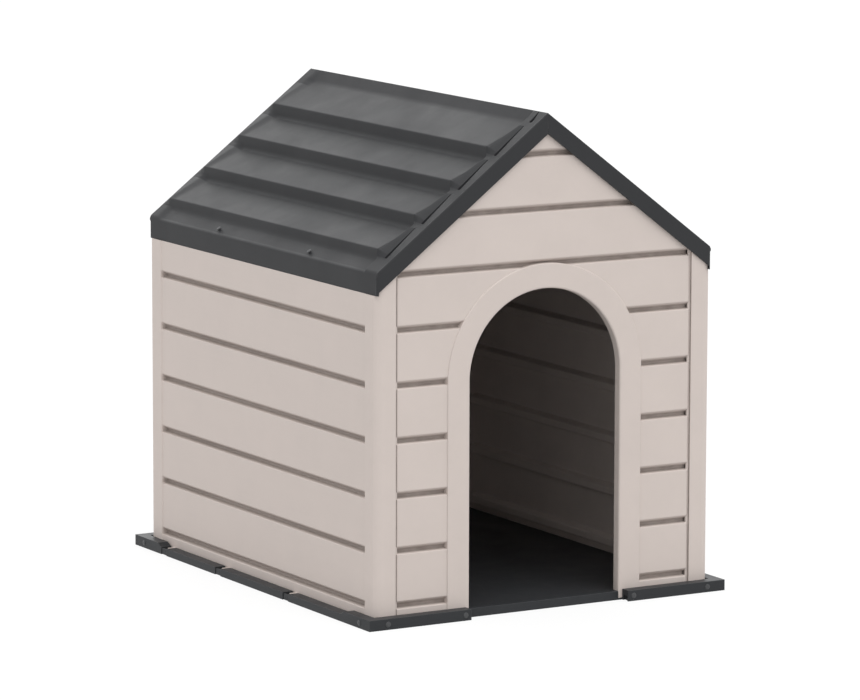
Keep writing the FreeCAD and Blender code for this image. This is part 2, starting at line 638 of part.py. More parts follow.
def on_slope(across, drop):
    """Corner in the slope's frame of a point given by its distance from X = 0 and its drop below
    the ridge."""
    return ("(" + across + ") * " + SLOPE_COS + " + (" + drop + ") * " + SLOPE_SIN,
            "(" + across + ") * " + SLOPE_SIN + " - (" + drop + ") * " + SLOPE_COS)


def eave_edge():
    """Corners of the rounded edge between the slope and the eave's upright face."""
    return [(SLOPE_LENGTH + " - " + EAVE_TANGENT, "0", "eave_radius", -1),
            on_slope(EAVE_REACH, EAVE_REACH + " * " + SLOPE_TAN + " + " + EAVE_TANGENT)]


def round_corners(body, name):
    """Round the two upright corners between the eave's face and the gable skirts."""
    side, end = "(" + EAVE_REACH + " - corner_radius)", "(" + RAKE_Y + " - corner_radius)"
    out_x, out_y = "(" + EAVE_REACH + " + overrun)", "(" + RAKE_Y + " + overrun)"
    front = [(EAVE_REACH, "-" + end), (out_x, "-" + end), (out_x, "-" + out_y),
             (side, "-" + out_y), (side, "-" + RAKE_Y, "corner_radius", 1)]
    back = [(EAVE_REACH, end, "corner_radius", 1), (side, RAKE_Y), (side, out_y),
            (out_x, out_y), (out_x, end)]
    cut(body, name + "_corners", "XY", "-ridge_height", "overrun", [front, back],
        tilt="-" + SLOPE_ANGLE)


def make_roof_half(doc, name):
    """Right roof half: sloping deck with a fascia, gable skirts, raised courses and a ridge lap."""
    body = new_body(doc, name)
    joint = "ridge_joint / 2"
    skin_drop = "(roof_skin / " + SLOPE_COS + ")"
    fall = "(ridge_height - " + EAVE_BOTTOM + ")"
    inside = "(" + EAVE_REACH + " - fascia_skin)"
    add(body, name + "_deck", "XZ", "-" + RAKE_Y, RAKE_Y,
        [[on_slope(joint, "(" + joint + ") * " + SLOPE_TAN)] + eave_edge()
         + [on_slope(EAVE_REACH, fall), on_slope(inside, fall),
            on_slope(inside, inside + " * " + SLOPE_TAN + " + " + skin_drop),
            on_slope(joint, "(" + joint + ") * " + SLOPE_TAN + " + " + skin_drop)]])
    add_rake_skirts(body, name, joint)
    round_corners(body, name)
    add_courses(body, name)
    cut_course_slots(body, name)
    add_ridge_lap(body, name, joint, skin_drop)
    pin_bore = "pin_shank + 2 * fit_gap"
    pin_x = SLOPE_LENGTH + " - pin_inset"
    cut(body, name + "_pin_holes", "XY", "-roof_skin - overrun", "overrun",
        [(pin_x, "-pin_spread", pin_bore), (pin_x, "pin_spread", pin_bore)])
    slope_frame(body)
    return body


def add_rake_skirts(body, name, joint):
    """Skirts that hang over the gables at both ends of the roof."""
    low_joint = "(" + joint + ") * " + SLOPE_TAN
    outline = [on_slope(joint, low_joint)] + eave_edge() + [
        on_slope(EAVE_REACH, EAVE_REACH + " * " + SLOPE_TAN + " + rake_drop"),
        on_slope(joint, low_joint + " + rake_drop")]
    skirt = add(body, name + "_skirt", "XZ", "-" + RAKE_Y, "-" + RAKE_Y + " + rake_skin", [outline])
    mirror(body, [skirt], "XZ")


def add_courses(body, name):
    """Raised courses, each a wedge with a hollow riser below its lip, open underneath."""
    end = "(" + RAKE_Y + " - rake_border)"
    top = "ridge_band"
    sweep = "(lip_height - lip_nose)"
    foot = COURSE_LIP + " + " + sweep
    wedge = add(body, name + "_course", "XZ", "-" + end, end,
                [[(top, "0"), (top, "-roof_skin / 2"), (foot, "-roof_skin / 2"),
                  (foot, "0", sweep, -1), (COURSE_LIP, sweep), (COURSE_LIP, "lip_height")]])
    repeat(body, wedge, "X", COURSE_PITCH, "course_count")
    over = "(2 * lip_height)"
    run = "(2 * course_end_run)"
    past = "(" + end + " + overrun)"
    lean = "(" + end + " - " + run + ")"
    cut(body, name + "_course_ends", "YZ", "0", SLOPE_LENGTH + " + overrun",
        [[(end, "0"), (past, "0"), (past, over), (lean, over)],
         [("-" + end, "0"), ("-" + lean, over), ("-" + past, over), ("-" + past, "0")]])
    under = "(" + end + " - course_end_run - roof_skin)"
    slope = "(lip_height / " + COURSE_PITCH + ")"
    ceiling = "(" + slope + " * (" + COURSE_PITCH + " - roof_skin) - roof_skin)"
    hollow = cut(body, name + "_hollow", "XZ", "-" + under, under,
                 [[(top, "-roof_skin"), (top, "-roof_skin - overrun"),
                   (COURSE_LIP + " + roof_skin", "-roof_skin - overrun"),
                   (COURSE_LIP + " + roof_skin", "-roof_skin"),
                   (COURSE_LIP + " - roof_skin", ceiling)]])
    repeat(body, hollow, "X", COURSE_PITCH, "course_count")


def cut_course_slots(body, name):
    """Tapering slots in the border beside the courses, widest at the lips."""
    near = "(" + RAKE_Y + " - rake_border)"
    far = "(" + near + " + slot_width)"
    top = "ridge_band + slot_lead"
    slot = cut(body, name + "_slot", "XY", "-slot_depth", "0",
               [[(top, near), (COURSE_LIP, near), (COURSE_LIP, far)],
                [(top, "-" + near), (COURSE_LIP, "-" + far), (COURSE_LIP, "-" + near)]])
    repeat(body, slot, "X", COURSE_PITCH, "course_count")


def add_ridge_lap(body, name, joint, skin_drop):
    """Lap along half of the ridge that runs in under the other roof half and hooks them together."""
    gap = "(fit_gap / " + SLOPE_COS + ")"
    thick = "(lap_skin / " + SLOPE_COS + ")"
    base = skin_drop + " + " + gap
    reach_drop = "lap_reach * " + SLOPE_TAN + " + " + base
    add(body, name + "_lap", "XZ", "lap_start", WALL_Y + " - lap_inset",
        [[on_slope("lap_reach", "lap_reach * " + SLOPE_TAN + " + roof_skin / 2"),
          on_slope(joint, "(" + joint + ") * " + SLOPE_TAN + " + roof_skin / 2"),
          on_slope(joint, base),
          on_slope("-lap_reach", reach_drop),
          on_slope("-lap_reach", reach_drop + " + " + thick),
          on_slope("0", base + " + " + thick)]])


# ---------------------------------------------------------------- pegs and pins

def shank_section(across, up, diameter):
    """Outline of a shank of two crossed webs inside a circle, about a place given by formulas."""
    web = "shank_web / 2"
    reach = "sqrt((" + diameter + ") ^ 2 / 4 - shank_web ^ 2 / 4)"
    corners = [(reach, "-" + web), (reach, web), (web, web), (web, reach), ("-" + web, reach),
               ("-" + web, web), ("-" + reach, web), ("-" + reach, "-" + web),
               ("-" + web, "-" + web), ("-" + web, "-" + reach), (web, "-" + reach),
               (web, "-" + web)]
    return [(across + " + (" + x + ")", up + " + (" + y + ")") for x, y in corners]


def make_fixings(doc, name, plane, heads, shanks, places, sizes):
    """A group of like fixings, round heads on shanks of crossed webs. Heads and shanks are the two
    ranges along the plane's axis; sizes are the diameters of head and shank."""
    body = new_body(doc, name)
    body.AllowCompound = True
    head, shank = sizes
    add(body, name + "_shanks", plane, shanks[0], shanks[1],
        [shank_section(across, up, shank) for across, up in places])
    add(body, name + "_heads", plane, heads[0], heads[1],
        [(across, up, head) for across, up in places])
    return body


def make_pegs(doc):
    """Push pegs that pass through the kerb into the feet of the walls, a group on each side."""
    ends = [(sign + place, "peg_height") for place in (PEG_CORNER, PEG_DOOR) for sign in ("-", "")]
    sides = [("-" + PEG_SIDE, "peg_height"), (PEG_SIDE, "peg_height")]
    groups = []
    for first, second, plane, outside, places in (
            ("front_pegs", "rear_pegs", "XZ", TRAY_Y, ends),
            ("left_pegs", "right_pegs", "YZ", TRAY_X, sides)):
        heads = ("-" + outside + " - peg_head_rise", "-" + outside)
        shanks = ("-" + outside, "-" + outside + " + peg_length")
        group = make_fixings(doc, first, plane, heads, shanks, places, ("peg_head", "peg_shank"))
        groups += [group, second_of(doc, group, second)]
    return groups


def make_roof_pins(doc):
    """Pins that hold the eaves down on the side walls' flanges."""
    pin_x = SLOPE_LENGTH + " - pin_inset"
    pins = make_fixings(doc, "right_roof_pins", "XY", ("0", "pin_head_rise"), ("-pin_length", "0"),
                        [(pin_x, "-pin_spread"), (pin_x, "pin_spread")], ("pin_head", "pin_shank"))
    slope_frame(pins)
    return [pins, second_of(doc, pins, "left_roof_pins")]


# ---------------------------------------------------------------- assembly

document = FreeCAD.newDocument("kennel")
sheet = add_sheet(document)

left_wall = make_side_wall(document, "left_wall")
roof_right = make_roof_half(document, "roof_right")
rear_wall = make_end_wall(document, "rear_wall", doorway=False)
turn_round(rear_wall)
nodes = [make_base_tray(document), left_wall, second_of(document, left_wall, "right_wall"),
         make_end_wall(document, "front_wall", doorway=True), rear_wall,
         roof_right, second_of(document, roof_right, "roof_left")]
nodes += make_pegs(document)
nodes += make_roof_pins(document)
document.recompute()

for item in document.Objects:
    if "Invalid" in item.State or "Error" in item.State:
        raise RuntimeError(item.Name + " failed: " + str(item.State))
for node in nodes:
    if node.Shape.isNull() or not node.Shape.isValid():
        raise RuntimeError(node.Label + " has no valid shape")

os.makedirs("parts", exist_ok=True)
for node in nodes:
    node.Shape.exportStep("parts/" + node.Label + ".step")
    box = node.Shape.BoundBox
    print("%-16s %3d solid(s) %10.0f mm3  x %.1f..%.1f  y %.1f..%.1f  z %.1f..%.1f" % (
        node.Label, len(node.Shape.Solids), node.Shape.Volume,
        box.XMin, box.XMax, box.YMin, box.YMax, box.ZMin, box.ZMax))
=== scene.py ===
import math

import bpy
import numpy as np
from mathutils import Matrix, Vector


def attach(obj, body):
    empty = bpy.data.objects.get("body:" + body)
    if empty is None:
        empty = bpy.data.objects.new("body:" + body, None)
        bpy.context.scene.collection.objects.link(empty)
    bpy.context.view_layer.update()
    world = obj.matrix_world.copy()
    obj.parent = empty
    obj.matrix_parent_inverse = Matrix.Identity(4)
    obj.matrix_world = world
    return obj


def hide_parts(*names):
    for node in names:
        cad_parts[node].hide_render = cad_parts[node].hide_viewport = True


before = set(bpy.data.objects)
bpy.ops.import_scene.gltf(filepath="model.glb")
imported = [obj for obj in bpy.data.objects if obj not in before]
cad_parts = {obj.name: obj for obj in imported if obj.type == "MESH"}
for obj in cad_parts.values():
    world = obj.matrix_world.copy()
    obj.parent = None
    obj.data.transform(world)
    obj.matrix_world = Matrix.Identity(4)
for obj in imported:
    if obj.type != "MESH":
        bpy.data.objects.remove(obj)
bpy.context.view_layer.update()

# A flat-pack plastic kennel, in the order in which it is put together: floor tray, side walls, end
# walls, dark webs as shade in the notches, pegs, roof halves and roof pins, then the floor, lamps
# and camera.
# Metres: X to the right seen from the front, Y from the doorway to the back, Z up.


# ---------------------------------------------------------------- floor tray
# One graphite moulding that carries everything: a raised floor, a kerb round the feet of the walls
# and ribs underneath. Its top is finely textured, and its edges are polished by handling.

TRAY_COLOUR = (0.036, 0.038, 0.041, 1.0)
TRAY_EDGE_COLOUR = (0.105, 0.11, 0.115, 1.0)


def new_node(tree, kind, settings=(), **inputs):
    """A shader node. Settings are pairs of name and value; an input that is a socket is linked."""
    made = tree.nodes.new("ShaderNode" + kind)
    for name, setting in settings:
        setattr(made, name, setting)
    for name, given in inputs.items():
        socket = made.inputs[name.replace("_", " ")]
        if isinstance(given, bpy.types.NodeSocket):
            tree.links.new(given, socket)
        else:
            socket.default_value = given
    return made


def maths(tree, operation, *terms, clamp=False):
    """A Math node's output, with numbers or sockets as its terms."""
    made = new_node(tree, "Math", (("operation", operation), ("use_clamp", clamp)))
    for socket, term in zip(made.inputs, terms):
        if isinstance(term, bpy.types.NodeSocket):
            tree.links.new(term, socket)
        else:
            socket.default_value = term
    return made.outputs[0]


def mixed(tree, factor, first, second):
    """A colour between two colours, by a factor."""
    made = new_node(tree, "Mix", (("data_type", "RGBA"),))
    for index, given in ((0, factor), (6, first), (7, second)):
        if isinstance(given, bpy.types.NodeSocket):
            tree.links.new(given, made.inputs[index])
        else:
            made.inputs[index].default_value = given
    return made.outputs[2]


def ranged(tree, factor, low, high, to_low, to_high):
    """A value moved from one range into another, with its ends held."""
    return new_node(tree, "MapRange", (("clamp", True),), Value=factor, From_Min=low, From_Max=high,
                    To_Min=to_low, To_Max=to_high).outputs["Result"]


def new_group(name, inputs, outputs):
    """An empty node group with number inputs and outputs, its input node and its output node."""
    group = bpy.data.node_groups.new(name, "ShaderNodeTree")
    for title, start in inputs:
        socket = group.interface.new_socket(title, in_out="INPUT", socket_type="NodeSocketFloat")
        socket.default_value = start
    for title, kind in outputs:
        group.interface.new_socket(title, in_out="OUTPUT", socket_type=kind)
    return group, group.nodes.new("NodeGroupInput"), group.nodes.new("NodeGroupOutput")


def make_grain_group():
    """Mould texture. Height is fine pits over a slower unevenness of the surface; Mottle is the
    cloudy drift of the pigment, and Streak is the flow of the plastic, drawn out along Y."""
    group, given, result = new_group(
        "mould_texture", (("Pit size", 0.0012), ("Cloud size", 0.09)),
        (("Height", "NodeSocketFloat"), ("Mottle", "NodeSocketFloat"),
         ("Streak", "NodeSocketFloat")))
    place = new_node(group, "TexCoord").outputs["Object"]
    pits = new_node(group, "TexNoise", Vector=place, Detail=2.0, Roughness=0.6,
                    Scale=maths(group, "DIVIDE", 1.0, given.outputs["Pit size"]))
    swell = new_node(group, "TexNoise", Vector=place, Detail=1.0,
                     Scale=maths(group, "DIVIDE", 0.2, given.outputs["Pit size"]))
    cloud = new_node(group, "TexNoise", Vector=place, Detail=5.0, Roughness=0.62,
                     Scale=maths(group, "DIVIDE", 1.0, given.outputs["Cloud size"]))
    drawn = new_node(group, "Mapping", Vector=place, Scale=(60.0, 4.0, 90.0))
    streak = new_node(group, "TexNoise", Vector=drawn.outputs["Vector"], Scale=1.0, Detail=3.0)
    height = maths(group, "MULTIPLY_ADD", pits.outputs["Fac"], 0.7,
                   maths(group, "MULTIPLY", swell.outputs["Fac"], 0.3))
    mottle = ranged(group, cloud.outputs["Fac"], 0.3, 0.7, 0.0, 1.0)
    flow = ranged(group, streak.outputs["Fac"], 0.35, 0.65, 0.0, 1.0)
    for name, value in (("Height", height), ("Mottle", mottle), ("Streak", flow)):
        group.links.new(value, result.inputs[name])
    return group


def make_edge_group():
    """Worn edges. The surface's normal is compared with one that is averaged over a small radius:
    they differ only along an edge. Edge is that mask, and Normal is the averaged normal."""
    group, given, result = new_group(
        "worn_edges", (("Radius", 0.0012),),
        (("Edge", "NodeSocketFloat"), ("Normal", "NodeSocketVector")))
    soft = new_node(group, "Bevel", (("samples", 6),), Radius=given.outputs["Radius"])
    plain = new_node(group, "NewGeometry")
    alike = new_node(group, "VectorMath", (("operation", "DOT_PRODUCT"),))
    group.links.new(soft.outputs["Normal"], alike.inputs[0])
    group.links.new(plain.outputs["Normal"], alike.inputs[1])
    group.links.new(ranged(group, alike.outputs["Value"], 0.99, 0.8, 0.0, 1.0),
                    result.inputs["Edge"])
    group.links.new(soft.outputs["Normal"], result.inputs["Normal"])
    return group


grain_group = make_grain_group()
edge_group = make_edge_group()


def moulded_plastic(name, colour, edge_colour, roughness, drift, pits, edge_radius, settings=(),
                    painted_shade_colour=None):
    """Moulded plastic with pits, drifting pigment and worn edges. Drift is how far the colour moves
    with the clouds, pits is the depth of the texture in metres, and settings are pairs of a socket
    of the shader and its value. A given shade colour paints shade where the mesh's shade attribute
    is high."""
    material = bpy.data.materials.new(name)
    material.use_nodes = True
    tree = material.node_tree
    shader = tree.nodes["Principled BSDF"]
    grain = new_node(tree, "Group", (("node_tree", grain_group),))
    edges = new_node(tree, "Group", (("node_tree", edge_group),), Radius=edge_radius)
    dark = tuple(part * (1 - drift) for part in colour[:3]) + (1.0,)
    light = tuple(part * (1 + drift) for part in colour[:3]) + (1.0,)
    tint = mixed(tree, grain.outputs["Mottle"], dark, light)
    tint = mixed(tree, maths(tree, "MULTIPLY", grain.outputs["Streak"], 0.25), tint, light)
    tint = mixed(tree, maths(tree, "MULTIPLY", edges.outputs["Edge"], 0.6), tint, edge_colour)
    # Painted shade: a darker colour mixed in where the grooves are deep and along the seams at the
    # posts.
    if painted_shade_colour:
        painted_shade = new_node(tree, "Attribute", (("attribute_name", "painted_shade"),)).outputs["Fac"]
        patchy = ranged(tree, grain.outputs["Streak"], 0.0, 1.0, 0.8, 1.0)
        painted_shade = maths(tree, "MULTIPLY", ranged(tree, painted_shade, 0.25, 1.0, 0.0, 1.0), patchy)
        tint = mixed(tree, painted_shade, tint, painted_shade_colour)
    tree.links.new(tint, shader.inputs["Base Color"])
    rough = ranged(tree, grain.outputs["Mottle"], 0.0, 1.0, roughness - 0.06, roughness + 0.06)
    rough = maths(tree, "MULTIPLY_ADD", edges.outputs["Edge"], -0.12, rough, clamp=True)
    tree.links.new(rough, shader.inputs["Roughness"])
    bump = new_node(tree, "Bump", Height=grain.outputs["Height"], Normal=edges.outputs["Normal"],
                    Strength=1.0, Distance=pits)
    tree.links.new(bump.outputs["Normal"], shader.inputs["Normal"])
    for socket, setting in settings:
        shader.inputs[socket].default_value = setting
    return material


tray_plastic = moulded_plastic("tray_plastic", TRAY_COLOUR, TRAY_EDGE_COLOUR, 0.42, 0.08, 0.00012,
                               0.0014, (("Specular IOR Level", 0.15),))
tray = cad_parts["base_tray"]
for place in tray.material_slots:
    place.material = tray_plastic


# ---------------------------------------------------------------- side walls
# Two mouldings from one mould, turned half round: a planked beige panel with a rounded corner post
# at each end. Every groove is pressed right through, so it shows as a rib inside.

WALL_COLOUR = (0.63, 0.555, 0.515, 1.0)
WALL_EDGE_COLOUR = (0.72, 0.66, 0.62, 1.0)
# Inner faces: the wall beige darkened, shade painted for the kennel's shadowed inside.
INSIDE_SHADED_COLOUR = (0.50, 0.44, 0.41, 1.0)
# Colour of the shade painted into the walls' grooves and along their seams.
GROOVE_PAINTED_SHADE = (0.30, 0.255, 0.23, 1.0)
WALL_X, WALL_Y = 0.303, 0.375
WALL_SKIN = 0.0035
POST_ROUND = 0.015
POST_LEG = 0.03775
POST_FRONT, POST_BACK = 0.030, 0.042
EDGE_ROUND = 0.0012
NOTCH_PLACES = (0.291, 0.102, -0.125)
RECESS = 0.002
PLANK_PITCH, GROOVE_FIRST = 0.085, 0.031
GROOVE_TOP, GROOVE_SLOPE, GROOVE_FOOT, GROOVE_SIDE = 0.0065, 0.0060, 0.0055, 0.0018
GROOVE_DEPTH, GROOVE_ROUND = 0.009, 0.0006
SIDE_GROOVES = 6
FOOT_Z, EAVE_Z, EAVE_BOTTOM = 0.003, 0.546, 0.511
RIDGE_Z, EAVE_X, ROOF_SKIN, FIT_GAP = 0.773, 0.300, 0.0045, 0.0003
SLOPE = math.atan((RIDGE_Z - EAVE_Z) / EAVE_X)
FASCIA_SKIN = 0.0035
LEDGE_X = EAVE_X - FASCIA_SKIN - FIT_GAP


def soft_floor(x, reach):
    """x where it is positive and 0 where it is negative, bent over a stretch of reach each way."""
    return np.where(x > reach, x, np.where(x < -reach, 0.0, (x + reach) ** 2 / (4 * reach)))


def rise(x, run, reach):
    """0 below 0, 1 beyond run and straight between them, with both bends rounded."""
    return (soft_floor(x, reach) - soft_floor(x - run, reach)) / run


def under_roof(x):
    """Height of the roof deck's underside, less the fitting gap, at a distance from X = 0."""
    return RIDGE_Z - x * math.tan(SLOPE) - (ROOF_SKIN + FIT_GAP) / math.cos(SLOPE)


def stations(start, *stretches):
    """Places in a row: each stretch is the place where it ends and its number of steps."""
    parts = [np.array([start])]
    for end, steps in stretches:
        parts.append(np.linspace(parts[-1][-1], end, steps + 1)[1:])
    return np.concatenate(parts)


def groove_heights(low, high, count):
    """Heights of a grid's rows: close together at the bends of each groove, wide apart between."""
    middles = GROOVE_FIRST + PLANK_PITCH * np.arange(count)
    bends = np.array([-0.0100, -0.0090, -0.0082, -0.0074, -0.0066, -0.0060, -0.0054, -0.0047,
                      -0.0040, -0.0034, -0.0028, -0.0016, -0.0002, 0.0006, 0.0014, 0.0026,
                      0.0038, 0.0050, 0.0058, 0.0064, 0.0070, 0.0078, 0.0088, 0.0100])
    near = (middles[:, None] + bends).ravel()
    between = (middles[:, None] + PLANK_PITCH * np.array([0.2, 0.35, 0.5, 0.65, 0.8])).ravel()
    rows = np.unique(np.round(np.concatenate([[low, high], near, between]), 6))
    return rows[(rows >= low) & (rows <= high)]


def groove_depth(z, count, widen=0.0):
    """Depth of the grooves at heights z: a long slope under the upper plank, a narrow floor and a
    steep side on the lower plank, with every bend rounded."""
    number = np.clip(np.round((z - GROOVE_FIRST) / PLANK_PITCH), 0, count - 1)
    away = z - GROOVE_FIRST - number * PLANK_PITCH
    upper = rise(GROOVE_TOP + widen - away, GROOVE_SLOPE, GROOVE_ROUND)
    lower = rise(GROOVE_FOOT + widen + away, GROOVE_SIDE, GROOVE_ROUND)
    return GROOVE_DEPTH * np.minimum(upper, lower)


def outward(points, faces):
    """The faces turned so that the closed surface that they make has its outside outside: the
    volumes of the tetrahedra from the origin to each face add up to more than 0."""
    corners = points[faces]
    volume = np.einsum("ij,ij->", corners[:, 0], np.cross(corners[:, 1], corners[:, 2]))
    volume += np.einsum("ij,ij->", corners[:, 0], np.cross(corners[:, 2], corners[:, 3]))
    return faces if volume > 0 else faces[:, ::-1]


def skin(outer, inner, keep=None, painted_shade=0.0):
    """A closed skin between two grids of points with the same rows and columns. Keep says which
    of the grid's cells are there. The edges that only one kept cell has are joined by a rim.
    Returns points, faces, 1 for each face of the inner grid and the painted shade on each point."""
    rows, columns = outer.shape[:2]
    index = np.arange(rows * columns).reshape(rows, columns)
    cells = np.stack([index[:-1, :-1], index[1:, :-1], index[1:, 1:], index[:-1, 1:]], -1)
    cells = cells.reshape(-1, 4) if keep is None else cells[keep]
    edges = np.stack([cells, np.roll(cells, -1, axis=1)], -1).reshape(-1, 2)
    key = np.sort(edges, axis=1) @ np.array([rows * columns, 1])
    _, first, times = np.unique(key, return_index=True, return_counts=True)
    border = edges[first[times == 1]]
    rim = np.stack([border[:, 1], border[:, 0], border[:, 0] + rows * columns,
                    border[:, 1] + rows * columns], -1)
    faces = np.concatenate([cells, cells[:, ::-1] + rows * columns, rim])
    points = np.concatenate([outer.reshape(-1, 3), inner.reshape(-1, 3)])
    inside = np.concatenate([np.zeros(len(cells)), np.ones(len(cells)), np.zeros(len(rim))])
    painted_shade = np.tile(np.broadcast_to(painted_shade, (rows, columns)).ravel(), 2)
    return points, outward(points, faces), inside.astype(int), painted_shade


def bar(sections):
    """A closed bar through a row of sections, each a closed loop of as many points. Both ends
    are closed with a face. Returns points, faces, 0 for each face and 0 for each point."""
    rows, columns = sections.shape[:2]
    index = np.arange(rows * columns).reshape(rows, columns)
    after = np.roll(index, -1, axis=1)
    sides = np.stack([index[:-1], index[1:], after[1:], after[:-1]], -1).reshape(-1, 4)
    points = np.concatenate([sections.reshape(-1, 3), sections[[0, -1]].mean(axis=1)])
    low, high = rows * columns, rows * columns + 1
    first = np.stack([index[0], after[0], np.full(columns, low), np.full(columns, low)], -1)
    last = np.stack([after[-1], index[-1], np.full(columns, high), np.full(columns, high)], -1)
    faces = outward(points, np.concatenate([sides, first, last]))
    return points, faces, np.zeros(len(faces), int), np.zeros(len(points))


def along_y(outline, start, end):
    """Sections of a bar that runs along Y: an outline of (x, z) at its start and at its end."""
    outline = np.array(outline, float)
    places = np.array([start, end])
    sections = np.empty((2, len(outline), 3))
    sections[:, :, 0], sections[:, :, 2] = outline[:, 0], outline[:, 1]
    sections[:, :, 1] = places[:, None]
    return sections


def upright(outline, start, end):
    """Sections of an upright bar: an outline of (x, y) at its foot and at its top."""
    outline = np.array(outline, float)
    sections = np.empty((2, len(outline), 3))
    sections[:, :, :2] = outline
    sections[:, :, 2] = np.array([start, end])[:, None]
    return sections


def new_piece(name, parts, materials, stands_for=None, bevel=0.0006):
    """One object from closed parts, on the root body, in place of a node of the frame or beside
    them. Its sharp edges get a small bevel, and its broad faces keep their own normals."""
    mesh = bpy.data.meshes.new(name)
    start, points, faces, marks, painted_shade = 0, [], [], [], []
    for part_points, part_faces, part_marks, part_painted_shade in parts:
        points.append(part_points)
        painted_shade.append(part_painted_shade)
        faces += [list(dict.fromkeys(face)) for face in (part_faces + start).tolist()]
        marks.append(part_marks)
        start += len(part_points)
    mesh.from_pydata(np.concatenate(points), [], faces)
    marks = np.concatenate(marks)
    for material in materials:
        mesh.materials.append(material)
    mesh.polygons.foreach_set("material_index", marks * (len(materials) - 1))
    mesh.polygons.foreach_set("use_smooth", np.ones(len(faces), bool))
    # Per-point amount of painted shade, which the wall material darkens in grooves and at seams.
    mesh.attributes.new("painted_shade", "FLOAT", "POINT").data.foreach_set("value", np.concatenate(painted_shade))
    mesh.set_sharp_from_angle(angle=math.radians(35))
    mesh.validate()
    piece = bpy.data.objects.new(name, mesh)
    bpy.context.scene.collection.objects.link(piece)
    if bevel:
        edge = piece.modifiers.new("edges", "BEVEL")
        edge.width, edge.segments = bevel, 2
        edge.limit_method, edge.angle_limit = "ANGLE", math.radians(40)
    flat = piece.modifiers.new("flat faces", "WEIGHTED_NORMAL")
    flat.keep_sharp = True
    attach(piece, "root")
    if stands_for:
        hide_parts(stands_for)
    return piece


def turned(parts):
    """The same closed parts turned half round about the Z axis."""
    return [(points * np.array([-1.0, -1.0, 1.0]), faces, marks, painted_shade)
            for points, faces, marks, painted_shade in parts]


def mirrored(parts):
    """The mirror image of closed parts in the plane X = 0."""
    return [(points * np.array([-1.0, 1.0, 1.0]), faces[:, ::-1], marks, painted_shade)
            for points, faces, marks, painted_shade in parts]


def side_path():
    """Plan of a side wall's outside: front leg, quarter circle, side, quarter circle, rear leg.
    Returns places and the directions that point inwards."""
    leg = stations(POST_LEG, (POST_LEG - EDGE_ROUND, 4), (POST_ROUND, 5))[:-1]
    turn = np.linspace(0, math.pi / 2, 13)
    side = stations(-WALL_Y + POST_ROUND, (-WALL_Y + POST_FRONT - 0.001, 4),
                    (-WALL_Y + POST_FRONT + 0.004, 14), (WALL_Y - POST_BACK - 0.004, 24),
                    (WALL_Y - POST_BACK + 0.001, 14), (WALL_Y - POST_ROUND, 5))[1:-1]
    front_x = np.concatenate([-WALL_X + leg, -WALL_X + POST_ROUND * (1 - np.sin(turn))])
    front_y = np.concatenate([np.full(len(leg), -WALL_Y),
                              -WALL_Y + POST_ROUND * (1 - np.cos(turn))])
    front_in = np.concatenate([np.zeros(len(leg)), np.sin(turn)])
    x = np.concatenate([front_x, np.full(len(side), -WALL_X), front_x[::-1]])
    y = np.concatenate([front_y, side, -front_y[::-1]])
    in_x = np.concatenate([front_in, np.ones(len(side)), front_in[::-1]])
    in_y = np.concatenate([np.concatenate([np.ones(len(leg)), np.cos(turn)]), np.zeros(len(side)),
                           -np.concatenate([np.ones(len(leg)), np.cos(turn)])[::-1]])
    return x, y, in_x, in_y


def side_wall_parts():
    """Left wall: the path raised from the foot to the roof, pushed in by the recess of the planks
    and the depth of the grooves. The inner grid lies a skin further in, with the ribs."""
    x, y, in_x, in_y = side_path()
    rows = groove_heights(FOOT_Z, EAVE_BOTTOM, SIDE_GROOVES)
    share = (rows - FOOT_Z) / (EAVE_BOTTOM - FOOT_Z)
    top = np.where(np.abs(x) > LEDGE_X, EAVE_BOTTOM, under_roof(np.abs(x)))
    z = FOOT_Z + share[:, None] * (EAVE_BOTTOM - FOOT_Z) + np.where(
        share[:, None] > 0.999, top - EAVE_BOTTOM, 0.0)
    planked = (rise(y + WALL_Y - POST_FRONT, RECESS, 0.0004)
               * rise(WALL_Y - POST_BACK - y, RECESS, 0.0004))
    grooved = (rise(y + WALL_Y - POST_FRONT, 0.0008, 0.0003)
               * rise(WALL_Y - POST_BACK - y, 0.0008, 0.0003))
    to_end = np.clip(POST_LEG - WALL_X + np.abs(x), 0.0, EDGE_ROUND)
    curl = EDGE_ROUND - np.sqrt(EDGE_ROUND ** 2 - (EDGE_ROUND - to_end) ** 2)
    curl = np.where(in_x == 0, curl, 0.0)
    push = RECESS * planked + curl + grooved * groove_depth(z, SIDE_GROOVES)
    pull = WALL_SKIN + RECESS * planked + grooved * groove_depth(z, SIDE_GROOVES, WALL_SKIN)
    outer = np.stack([x + in_x * push, y + in_y * push, z], -1)
    inner = np.stack([x + in_x * pull, y + in_y * pull, z], -1)
    # Painted shade: deeper in the grooves and on the rounded post edges at the seams.
    painted_shade = np.maximum(grooved * groove_depth(z, SIDE_GROOVES) / GROOVE_DEPTH, curl / EDGE_ROUND)
    return [skin(outer, inner, painted_shade=painted_shade)]


